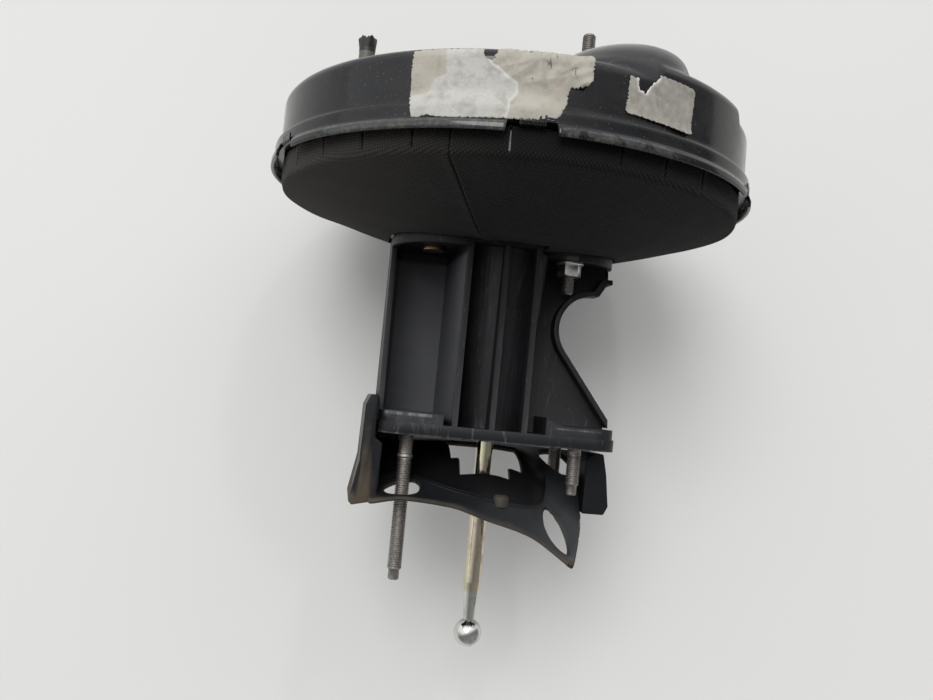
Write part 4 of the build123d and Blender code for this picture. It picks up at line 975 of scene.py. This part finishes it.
# %% The warp
GASKET_X = np.array([-66.0, -47, -22, 0, 22, 42, 63])
GASKET_Z = np.array([-36.0, -14, -2, 8, 17, 26, 36])
GASKET_Y = np.array([
    [-3.2, -3.1, -3.1, -3.1, -3.1, -3.2, -3.6], [-7.5, -5.8, -3.6, -3.5, -5.2, -12.5, -22],
    [-19, -14.5, -6.3, -5.2, -8.2, -21, -37], [-27.5, -23, -11, -9.3, -12.5, -30, -49],
    [-30.5, -27.5, -19, -16.5, -21.5, -42, -62], [-32.5, -30.2, -27, -26, -33, -52.5, -70],
    [-36, -32.5, -34.5, -41, -47, -58.5, -75]])


def curve(knots, values, at):
    """Values between knots along the last axis, one place each: cubic pieces whose slope at a knot is the
    harmonic mean of the slopes on its two sides, or zero at a turning point."""
    values = np.broadcast_to(values, (*at.shape, len(knots)))
    step = np.diff(knots)
    rise = np.diff(values, axis=-1) / step
    a, b = rise[..., :-1], rise[..., 1:]
    same = a * b > 0
    mean = np.where(same, 2 * a * b / np.where(same, a + b, 1), 0)
    slope = np.concatenate([rise[..., :1], mean, rise[..., -1:]], -1)
    k = np.clip(np.searchsorted(knots, at) - 1, 0, len(step) - 1)
    t, h = (at - knots[k]) / step[k], step[k]

    def pick(layer, index):
        return np.take_along_axis(layer, index[..., None], -1)[..., 0]

    return ((2 * t**3 - 3 * t**2 + 1) * pick(values, k) + (t**3 - 2 * t**2 + t) * h * pick(slope, k)
            + (3 * t**2 - 2 * t**3) * pick(values, k + 1) + (t**3 - t**2) * h * pick(slope, k + 1))


def gasket_top(x, z):
    """Height of the gasket's upper face over (x, z): along x in every row of the table, then across the
    rows."""
    x, z = np.broadcast_arrays(np.clip(x, -66, 63), np.clip(z, -36, 36))
    rows = curve(GASKET_X, GASKET_Y, np.repeat(x[..., None], len(GASKET_Z), -1))
    return curve(GASKET_Z, rows, z)


# %% Outline and holes as distances
GASKET_HOLES = [(-STUD_X, STUD_Z, 9.5), (40.3, STUD_Z, 7.5), (STUD_X, -STUD_Z, 9.5), (-STUD_X, -STUD_Z, 6.5)]
GASKET_CORNERS = [(-66, -36), (62, -36), (61, 2), (48.5, 36), (-66, 36)]
GASKET_CORNER = 3.0


def in_box(x, z, centre, half):
    """Distance to a rectangle in its plane, negative inside."""
    across, along = np.abs(x - centre[0]) - half[0], np.abs(z - centre[1]) - half[1]
    return np.hypot(np.maximum(across, 0), np.maximum(along, 0)) + np.minimum(np.maximum(across, along), 0)


def keyhole(x, z):
    """Distance to the rod's hole, negative inside: a taller middle between a left and a right wing."""
    left = in_box(x, z, (-10, -4.65), (10, 13.35))
    right = in_box(x, z, (10, -2.85), (10, 15.15))
    return np.minimum(np.minimum(left, right), in_box(x, z, (-1.55, 0), (13.75, 18)))


def gasket_edge(x, z):
    """Distance from (x, z) to the nearest edge of the sheet, positive in the rubber.

    At a corner of the outline, the distances to its two sides count together, which rounds it.
    """
    short, least = 0, np.inf
    for (x0, z0), (x1, z1) in zip(GASKET_CORNERS, GASKET_CORNERS[1:] + GASKET_CORNERS[:1]):
        length = math.hypot(x1 - x0, z1 - z0)
        inward = ((x1 - x0) * (z - z0) - (z1 - z0) * (x - x0)) / length
        short = short + np.maximum(GASKET_CORNER - inward, 0) ** 2
        least = np.minimum(least, inward)
    edge = np.where(least > GASKET_CORNER, least, GASKET_CORNER - np.sqrt(short))
    for hx, hz, radius in GASKET_HOLES:
        edge = np.minimum(edge, np.hypot(x - hx, z - hz) - radius)
    return np.minimum(edge, keyhole(x, z))


# %% The sheet
def cut_grid(across, along, edge_of, step):
    """Square grid cut to shape. Points near an edge are pulled onto it, and a quad with three points left
    is a triangle.

    edge_of gives the distance to the edge, positive in the piece, and its slope says which way to pull.
    """
    x, z = np.meshgrid(np.arange(*across, step), np.arange(*along, step))
    for _ in range(3):
        edge = edge_of(x, z)
        slope_x = (edge_of(x + 0.01, z) - edge_of(x - 0.01, z)) / 0.02
        slope_z = (edge_of(x, z + 0.01) - edge_of(x, z - 0.01)) / 0.02
        pull = np.where(np.abs(edge) < 0.62 * step, edge, 0)
        x, z = x - pull * slope_x, z - pull * slope_z
    kept = (edge_of(x, z) > -0.06).ravel()
    quads = grid_faces(*x.shape)
    centre = edge_of(x.ravel()[quads].mean(1), z.ravel()[quads].mean(1))
    faces = []
    for quad, far in zip(quads, centre):
        corners = [v for v in quad if kept[v]]
        if len(corners) >= 3 and far > 0.02:
            faces.append(corners)
    return x, z, faces


GASKET_THICK = 3.0


def gasket_sheet():
    """An upper and a lower face that share their points along every edge. At the far edge the upper one
    stays up."""
    x, z, faces = cut_grid((-66.6, 63), (-36.6, 37), gasket_edge, 0.9)
    edge = gasket_edge(x, z)
    thick = GASKET_THICK / 2 * np.sqrt(1 - (1 - np.clip(edge / 1.5, 0, 1)) ** 2)
    thick = np.where(edge < 0.05, 0, thick)
    middle = gasket_top(x, z) - np.where(z < -30, thick, GASKET_THICK / 2)
    upper = np.stack([x, middle + thick, z], -1)
    lower = np.stack([x, middle - thick, z], -1)
    return joined((upper, [f[::-1] for f in faces]), (lower, faces))


# %% Raised lines
def tube(path, radius, sides=8, loop=False):
    """Round bead along a path, with flat ends unless it is a loop."""
    path = np.asarray(path, float)
    if loop:
        along = np.roll(path, -1, 0) - np.roll(path, 1, 0)
    else:
        along = np.gradient(path, axis=0)
    along /= np.linalg.norm(along, axis=1)[:, None]
    side = np.cross(along, [0, 1, 0])
    side /= np.linalg.norm(side, axis=1)[:, None]
    up = np.cross(side, along)
    a = circle(sides)[None, :, None]
    points = path[:, None] + radius * (np.cos(a) * side[:, None] + np.sin(a) * up[:, None])
    faces = grid_faces(len(path), sides, wrap_rows=loop, wrap_columns=True).tolist()
    if not loop:
        faces += [list(range(sides)), [(len(path) - 1) * sides + c for c in range(sides)][::-1]]
    return points, faces


def on_gasket(x, z, sink=0.1):
    """Points of the upper face, a little below it."""
    return np.stack([x, gasket_top(x, z) - sink, z], -1)


def smooth_path(corners, count):
    """Even points along a path through corners, after three rounds of cutting its corners off."""
    path = np.asarray(corners, float)
    for _ in range(3):
        a, b = path[:-1], path[1:]
        cut = np.stack([a * 0.75 + b * 0.25, a * 0.25 + b * 0.75], 1).reshape(-1, path.shape[1])
        path = np.concatenate([path[:1], cut, path[-1:]])
    length = np.concatenate([[0], np.cumsum(np.linalg.norm(np.diff(path, axis=0), axis=1))])
    at = np.linspace(0, length[-1], count)
    return np.stack([np.interp(at, length, path[:, k]) for k in range(path.shape[1])], -1)


FRAME_CORNERS = [(-40.4, 6), (-40, 13), (-33, 20.5), (-24, 26.3), (-11, 29), (2, 30), (19, 28), (29, 23),
                 (34.5, 15), (36.2, 8), (38, -2)]
FRAME_LINE = smooth_path(FRAME_CORNERS, 110)


def gasket_beads():
    """The double line moulded round the middle, and the ring round the near right hole."""
    parts = []
    direction = np.gradient(FRAME_LINE, axis=0)
    direction /= np.linalg.norm(direction, axis=1)[:, None]
    for offset, radius in ((-0.75, 0.34), (0.75, 0.42)):
        x = FRAME_LINE[:, 0] - offset * direction[:, 1]
        z = FRAME_LINE[:, 1] + offset * direction[:, 0]
        parts.append(tube(on_gasket(x, z), radius))
    for hx, hz, radius in GASKET_HOLES[:3]:
        a = circle(72)
        ring = radius + 1.9
        parts.append(tube(on_gasket(hx + ring * np.sin(a), hz + ring * np.cos(a), 0.35), 0.6, loop=True))
    return joined(*parts)


# %% Side walls
def wall_loop(corners, radius):
    """Closed (x, y) loop with rounded corners that starts in the middle of its last side."""
    start = (np.array(corners[0]) + corners[-1]) / 2
    path = rounded_path([start, *corners, start], [radius] * len(corners), 0.4)
    return divided(path[:-1], 2.5)


WALL_ROUNDING = 1.2
END_ROUNDING = 0.9


def thick_wall(corners, near, far):
    """A wall with a rounded section, carried along z. Its ends are rounded by drawing the section in."""
    loop = wall_loop(corners, WALL_ROUNDING)
    along = np.roll(loop, -1, 0) - np.roll(loop, 1, 0)
    along /= np.linalg.norm(along, axis=1)[:, None]
    area = np.sum(loop[:, 0] * np.roll(loop[:, 1], -1) - np.roll(loop[:, 0], -1) * loop[:, 1])
    inward = np.stack([-along[:, 1], along[:, 0]], -1) * np.sign(area)
    roll = np.linspace(0, math.pi / 2, 6)
    back, drop = END_ROUNDING * (1 - np.cos(roll)), END_ROUNDING * (1 - np.sin(roll))
    z = np.concatenate([far + back, np.linspace(far + 3, near - 3, 12), near - back[::-1]])
    drawn = np.concatenate([drop, np.zeros(12), drop[::-1]])
    section = loop[None] + drawn[:, None, None] * inward[None]
    points = np.concatenate([section, np.broadcast_to(z[:, None, None], (*section.shape[:2], 1))], -1)
    rows, columns = points.shape[:2]
    faces = grid_faces(rows, columns, wrap_columns=True).tolist()
    faces += [list(range(columns)), [(rows - 1) * columns + c for c in range(columns)][::-1]]
    return points, faces


LEFT_WALL = [(-64.7, -3), (-64.7, 19.8), (-69, 19.8), (-71.5, 14), (-72, -16), (-76, -38), (-74, -40),
             (-61, -37), (-60.5, -6)]
RIGHT_WALL = [(70.3, -2.6), (73, -15), (75.4, -33), (73, -38), (60, -38), (60, -6), (64, -2.6)]
LIP = [(-64.5, -0.6), (-64.5, -9), (-50.5, -9), (-50.5, -0.6)]


# %% Gasket
def gasket_piece():
    """The sheet, its beads, its two side walls and the small lip under the flange, as one piece."""
    walls = [thick_wall(LEFT_WALL, 30, -30), thick_wall(RIGHT_WALL, 4, -30), thick_wall(LIP, -20, -33)]
    points, faces = joined(gasket_sheet(), gasket_beads(), *walls)
    x, y, z = points.T
    edge = gasket_edge(x, z)
    wall = (x < -60.4) & (y > gasket_top(x, z) + 1) | (x > 59.9) & (z < 4.1) & (y > -38.2)
    # Painted light: a grey painted reflection of the sky outside the moulded line, more to the right and
    # towards the near edge; the near-black inside the line is painted shade.
    line = np.interp(x, FRAME_LINE[:, 0], FRAME_LINE[:, 1])
    painted_sky_reflection = smooth_step(-1.0, 1.5, z - line) + smooth_step(34, 44, x)
    painted_sky_reflection = np.clip(painted_sky_reflection, 0, 1) * (0.22 + 0.78 * smooth_step(2, 52, x))
    dust = 0.58 * np.exp(-np.maximum(edge, 0) / 0.9) + 0.65 * smooth_step(28, 36, z) * smooth_step(36, 52, x)
    dust += 0.25 * smooth_step(-56, -64, x) * smooth_step(-10, 20, z)
    chalk = np.where(wall & (x < 0), 0.35 + 0.65 * smooth_step(10, -26, y) * smooth_step(10, 26, z), 0)
    painted_sky_reflection, dust = np.where(wall, 0.25, painted_sky_reflection), np.where(wall, np.where(x < 0, 0.06, 0.10), dust)
    return piece("gasket", points, faces, FINISHES["gasket_rubber"], "housing",
                 {"dust": dust, "painted_sky_reflection": painted_sky_reflection, "chalk": chalk}, close=True)


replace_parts(gasket_piece(), "bulkhead_gasket")


# %% Nub
nub_profile = rounded_path([(0.01, -42), (2, -42), (2, -36), (4.5, -35), (4.5, -30), (3, -28.5), (0.01, -28.5)],
                           [0.5, 0.4, 0.5, 0.5, 0.6], 0.3)
nub_points = lathe(nub_profile, circle(24)) + np.array([7.0, 0, 28.0])
nub_faces = grid_faces(len(nub_profile), 24, wrap_columns=True)
nub = piece("nub", nub_points, nub_faces, FINISHES["brown_rubber"], "housing",
            {"dust": np.full(nub_points[..., 0].size, 0.25)}, close=True)
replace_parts(nub, "gasket_nub")


# %% [markdown]
# ## Labels
# Two paper labels are stuck to the drum's wall, both torn and blank. A label is cut out of a grid in two
# coordinates: the arc length round the wall and y. Its distance off the paint is a height formula with
# folds. That is simpler than cloth for paper that no longer moves.

# %% Paper on the wall
def polygon_edge(x, y, corners):
    """Distance to the nearest side of a polygon, positive inside it."""
    least = np.full(np.shape(x), np.inf)
    for (x0, y0), (x1, y1) in zip(corners, corners[1:] + corners[:1]):
        ax, ay = x1 - x0, y1 - y0
        t = np.clip(((x - x0) * ax + (y - y0) * ay) / (ax * ax + ay * ay), 0, 1)
        least = np.minimum(least, np.hypot(x - x0 - t * ax, y - y0 - t * ay))
    return np.where(in_polygon(x, y, corners), least, -least)


def wall_radius(degrees, y):
    """Outside of the drum's wall and its rounded corner, which stands higher at the shoulder. Paper bridges
    the step down to the skirt."""
    over = np.clip(y - (FACE_Y + shoulder_rise(degrees) - WALL_CORNER), 0, WALL_CORNER)
    bridged = (SKIRT_RADIUS - WALL_RADIUS) * (1 - smooth_step(150, 160, y))
    return WALL_RADIUS - (WALL_CORNER - np.sqrt(WALL_CORNER**2 - over**2)) + bridged


def creases(s, y):
    """Folds of crumpled paper between 0 and 1: the nearest of several slanted planes at every place, which
    gives flat facets that meet in sharp folds."""
    planes = ((0.085, 0.020, 0.1), (-0.060, 0.075, 0.6), (0.030, -0.100, 0.35), (0.110, 0.060, 0.8),
              (-0.10, -0.03, 0.2))
    heights = [np.abs(((a * s + b * y + p) % 1) - 0.5) * 2 for a, b, p in planes]
    return np.minimum.reduce(heights[:3]) * 0.9 + np.minimum(heights[3], heights[4]) * 0.45


def ragged(s, y):
    """Small unevenness of a torn edge, in millimetres."""
    slow = 0.20 * np.sin(0.9 * s + 1.7 * np.sin(0.7 * y)) * np.sin(1.3 * y + 0.6 * s)
    return slow + 0.22 * np.sin(2.1 * s + np.sin(1.3 * y)) + 0.16 * np.sin(4.7 * s - 3.9 * y)


LABEL_STEP = 0.55
PAPER_THICKNESS = 0.25
# Millimetres of wall in a degree, near enough for patterns.
ARC = 2.3


def label(name, corners, lift, layers):
    """Paper whose corners are (degrees, y). lift and layers give its height and its colours at (degrees, y)."""
    arc = math.radians(1) * WALL_RADIUS
    outline = [(d * arc, y) for d, y in corners]
    low, high = np.array(outline).min(0), np.array(outline).max(0)
    s, y, faces = cut_grid((low[0] - 1, high[0] + 1.5), (low[1] - 1, high[1] + 1.5),
                           lambda u, v: polygon_edge(u, v, outline) + ragged(u, v) * 0.6, LABEL_STEP)
    degrees = s / arc
    radius = wall_radius(degrees, y) + 0.16 + lift(degrees, y)
    turns = np.radians(degrees)
    points = np.stack([radius * np.sin(turns), y, radius * np.cos(turns)], -1)
    made = piece(name, points, [f[::-1] for f in faces], FINISHES["torn_paper"], "housing",
                 layers(degrees, y))
    thick = made.modifiers.new("thickness", "SOLIDIFY")
    thick.thickness = PAPER_THICKNESS * MM
    thick.offset = 0
    area = sum(polygon_edge(s, y, outline).ravel() > 0) * LABEL_STEP**2


# %% Large label
LARGE_LABEL = [(-31.1, 177.6), (-31.1, 167.7), (-30.7, 157.5), (-30.0, 148.6), (-29.5, 145.6),
               (-27.9, 145.4), (-26.3, 146.6), (-24.8, 145.5), (-20.3, 145.3), (-12.2, 145.8),
               (-8.2, 146.2), (-5.3, 146.4), (-2.7, 148.2), (-1.7, 148.0), (-0.6, 150.3), (0.1, 155.6),
               (0.5, 161.3), (0.9, 163.1), (3.7, 164.4), (4.6, 167.4), (4.6, 172.6), (4.8, 177.3),
               (4.0, 179.2), (1.7, 179.4), (-2.5, 179.3), (-8.0, 179.0), (-11.9, 179.2), (-13.8, 178.6),
               (-14.9, 172.4), (-16.4, 174.6), (-16.6, 178.2), (-20.5, 178.6), (-29.4, 178.4)]
WHITE_FACE = [(-24.3, 181), (-23.6, 166.5), (-26.0, 163.9), (-26.9, 157.4), (-32.2, 155.0), (-32, 144),
              (-11.5, 144), (-10.8, 150.6), (-10.9, 153.8), (-9.5, 158.6), (-9.7, 163.1), (-11.4, 165.4),
              (-13.2, 169.0), (-14.9, 171.4), (-16.4, 181)]


def crumple(degrees, y):
    """How much the paper is crumpled: not at all at the left, and fully at the upper right."""
    return smooth_step(-15.5, -11, degrees) * smooth_step(161, 167, y)


def large_lift(degrees, y):
    """Flat at the left, crumpled at the upper right, and curled off the wall at the right end."""
    end = smooth_step(0.4, 4.6, degrees) * smooth_step(160, 166, y)
    flap = 1.2 * np.exp(-(((degrees + 16.5) / 2.2) ** 2)) * smooth_step(173, 178, y)
    slack = 0.3 * creases(degrees * 1.1, y / 2.2)
    return 1.5 * crumple(degrees, y) * (1 - creases(degrees * ARC, y)) + 3.0 * end**2 + flap + slack


def patch_edge(degrees, y, corners):
    """Distance on the wall to the edge of a patch of the paper, positive inside."""
    return polygon_edge(degrees * ARC, y, [(ARC * d, v) for d, v in corners])


def large_layers(degrees, y):
    """White face or the layer under it, painted shade along the folds in the crumpled part, and a torn rim
    round the white.
    """
    white = patch_edge(degrees, y, WHITE_FACE)
    wander = np.sin(degrees * 1.9 + 0.8 * np.sin(y * 0.9)) - 0.9 * np.sin(y * 0.55 + 0.7 * degrees)
    broken = smooth_step(-0.2, 0.5, np.sin(degrees * 0.9 + 1.1) * np.cos(y * 0.41 - 0.35 * degrees))
    fold = crumple(degrees, y) * broken * np.exp(-((wander / 0.12) ** 2))
    rim = np.exp(-((white / 0.5) ** 2)) * smooth_step(-18, -15, degrees)
    return {"under": 1 - smooth_step(-0.5, 0.5, white), "crease_shade_and_dirt": fold, "torn": 0.6 * rim}


label("label_large", LARGE_LABEL, large_lift, large_layers)


# %% Small label
SMALL_LABEL = [(12.8, 174.6), (12.4, 158.4), (12.8, 156.9), (28.6, 155.0), (29.3, 155.8), (29.8, 176.6),
               (29.3, 177.6), (20.0, 178.6), (19.8, 176.9), (17.8, 172.8), (16.8, 168.5), (15.3, 169.1),
               (14.9, 171.8), (14.9, 174.5)]


def small_layers(degrees, y):
    """Stained and worn all over, with a torn edge round the notch at the upper left."""
    notch = np.exp(-((patch_edge(degrees, y, SMALL_LABEL) / 0.9) ** 2)) * smooth_step(13.8, 14.6, degrees)
    notch = notch * (1 - smooth_step(19.6, 20.4, degrees)) * smooth_step(164, 167, y)
    worn = 0.35 + 0.25 * np.sin(degrees * 9) * np.sin(y * 0.4) ** 2
    return {"under": np.clip(worn + 0.2, 0, 1), "crease_shade_and_dirt": 0.42 + 0 * y, "torn": notch}


label("label_small", SMALL_LABEL, lambda degrees, y: 0.25 * creases(degrees * 1.1, y / 2.2), small_layers)


# %% [markdown]
# ## Broken nipple
# The check valve's nipple has snapped off. What is left is a ragged black crown round its bore.

# %% Broken nipple
def broken_nipple(x=-90.0, z=30.0):
    """A tube whose top edge is ragged: every column of the lathe ends at its own height."""
    profile = [(4.4, 205), (4.45, 207), (4.7, 209), (4.9, 212), (4.1, 212.6), (2.7, 212), (2.6, 206)]
    turns = circle(40)
    points = lathe(np.array(profile, float), turns)
    height = 1.6 * np.abs(np.sin(turns * 2.5 + 0.6)) + 1.1 * np.abs(np.sin(turns * 7 + 1.9)) - 1.5
    raised = smooth_step(207, 212, points[..., 1])
    points[..., 1] += raised * height[None, :]
    flare = 1 + raised * 0.12 * np.sin(turns * 3 + 1)[None, :]
    points[..., 0] *= flare
    points[..., 2] *= flare
    faces = grid_faces(len(profile), 40, wrap_rows=True, wrap_columns=True)
    return piece("broken_nipple", points + np.array([x, 0, z]), faces, FINISHES["broken_plastic"], "housing",
                 smooth=False, close=True)


broken_nipple()


# %% [markdown]
# ## Floor and light
# The booster lies on a plain pale table. One broad lamp from the upper left gives the soft shadow, a small
# one puts a spark on the enamel, and the world gives the rest.

# %% Table
TABLE_HALF = 2500.0


def table_top():
    """A large flat square just under the booster, in off-white paint."""
    low = cad_box[0][2] / MM
    half = TABLE_HALF
    mesh = bpy.data.meshes.new("table")
    corners = [(-half, -half, low), (half, -half, low), (half, half, low), (-half, half, low)]
    mesh.from_pydata([tuple(c * MM for c in p) for p in corners], [], [(0, 1, 2, 3)])
    made = bpy.data.objects.new("table", mesh)
    bpy.context.scene.collection.objects.link(made)
    f = Finish("table_paint", (0.80, 0.79, 0.77), 0.7)
    f.set("Base Color", f.mix(f.noise(2.5, 3), (0.705, 0.70, 0.675), (0.735, 0.73, 0.705)))
    mesh.materials.append(f.material)


table_top()


# %% Lamp and world
def area_lamp(name, place, target, size, watts):
    """Square lamp that faces a target."""
    data = bpy.data.lights.new(name, "AREA")
    data.size = size
    data.energy = watts
    made = bpy.data.objects.new(name, data)
    made.location = place
    made.rotation_euler = (Vector(target) - Vector(place)).to_track_quat("-Z", "Y").to_euler()
    bpy.context.scene.collection.objects.link(made)


area_lamp("window", (-2.8, 3.9, 8.0), (0, 0.1, 0), 4.2, 400)
area_lamp("bulb", (0.7, 4.2, 4.4), (0.05, 0.18, 0.1), 0.35, 22)
SKY = ((0.0, 0.30), (0.44, 0.16), (0.56, 0.55), (0.66, 1.0))
SKY_STRENGTH = 1.25


def room():
    """Sky by direction: bright on the far left side, where the window is, and dark overhead and on the near
    side."""
    world = bpy.data.worlds.new("room")
    world.use_nodes = True
    tree = world.node_tree
    direction = tree.nodes.new("ShaderNodeTexCoord").outputs["Generated"]
    towards = tree.nodes.new("ShaderNodeVectorMath")
    towards.operation = "DOT_PRODUCT"
    tree.links.new(direction, towards.inputs[0])
    towards.inputs[1].default_value = (-0.20, 0.45, 0.0)
    share = tree.nodes.new("ShaderNodeMath")
    share.operation = "ADD"
    tree.links.new(towards.outputs["Value"], share.inputs[0])
    share.inputs[1].default_value = 0.5
    ramp = tree.nodes.new("ShaderNodeValToRGB")
    tree.links.new(share.outputs[0], ramp.inputs[0])
    for position, level in SKY:
        stop = ramp.color_ramp.elements.new(position)
        stop.color = (0.97 * level, 0.985 * level, level, 1)
    ramp.color_ramp.elements.remove(ramp.color_ramp.elements[0])
    ramp.color_ramp.elements.remove(ramp.color_ramp.elements[-1])
    background = tree.nodes["Background"]
    tree.links.new(ramp.outputs[0], background.inputs["Color"])
    background.inputs["Strength"].default_value = SKY_STRENGTH
    return world


bpy.context.scene.world = room()
bpy.context.scene.view_settings.view_transform = "Standard"
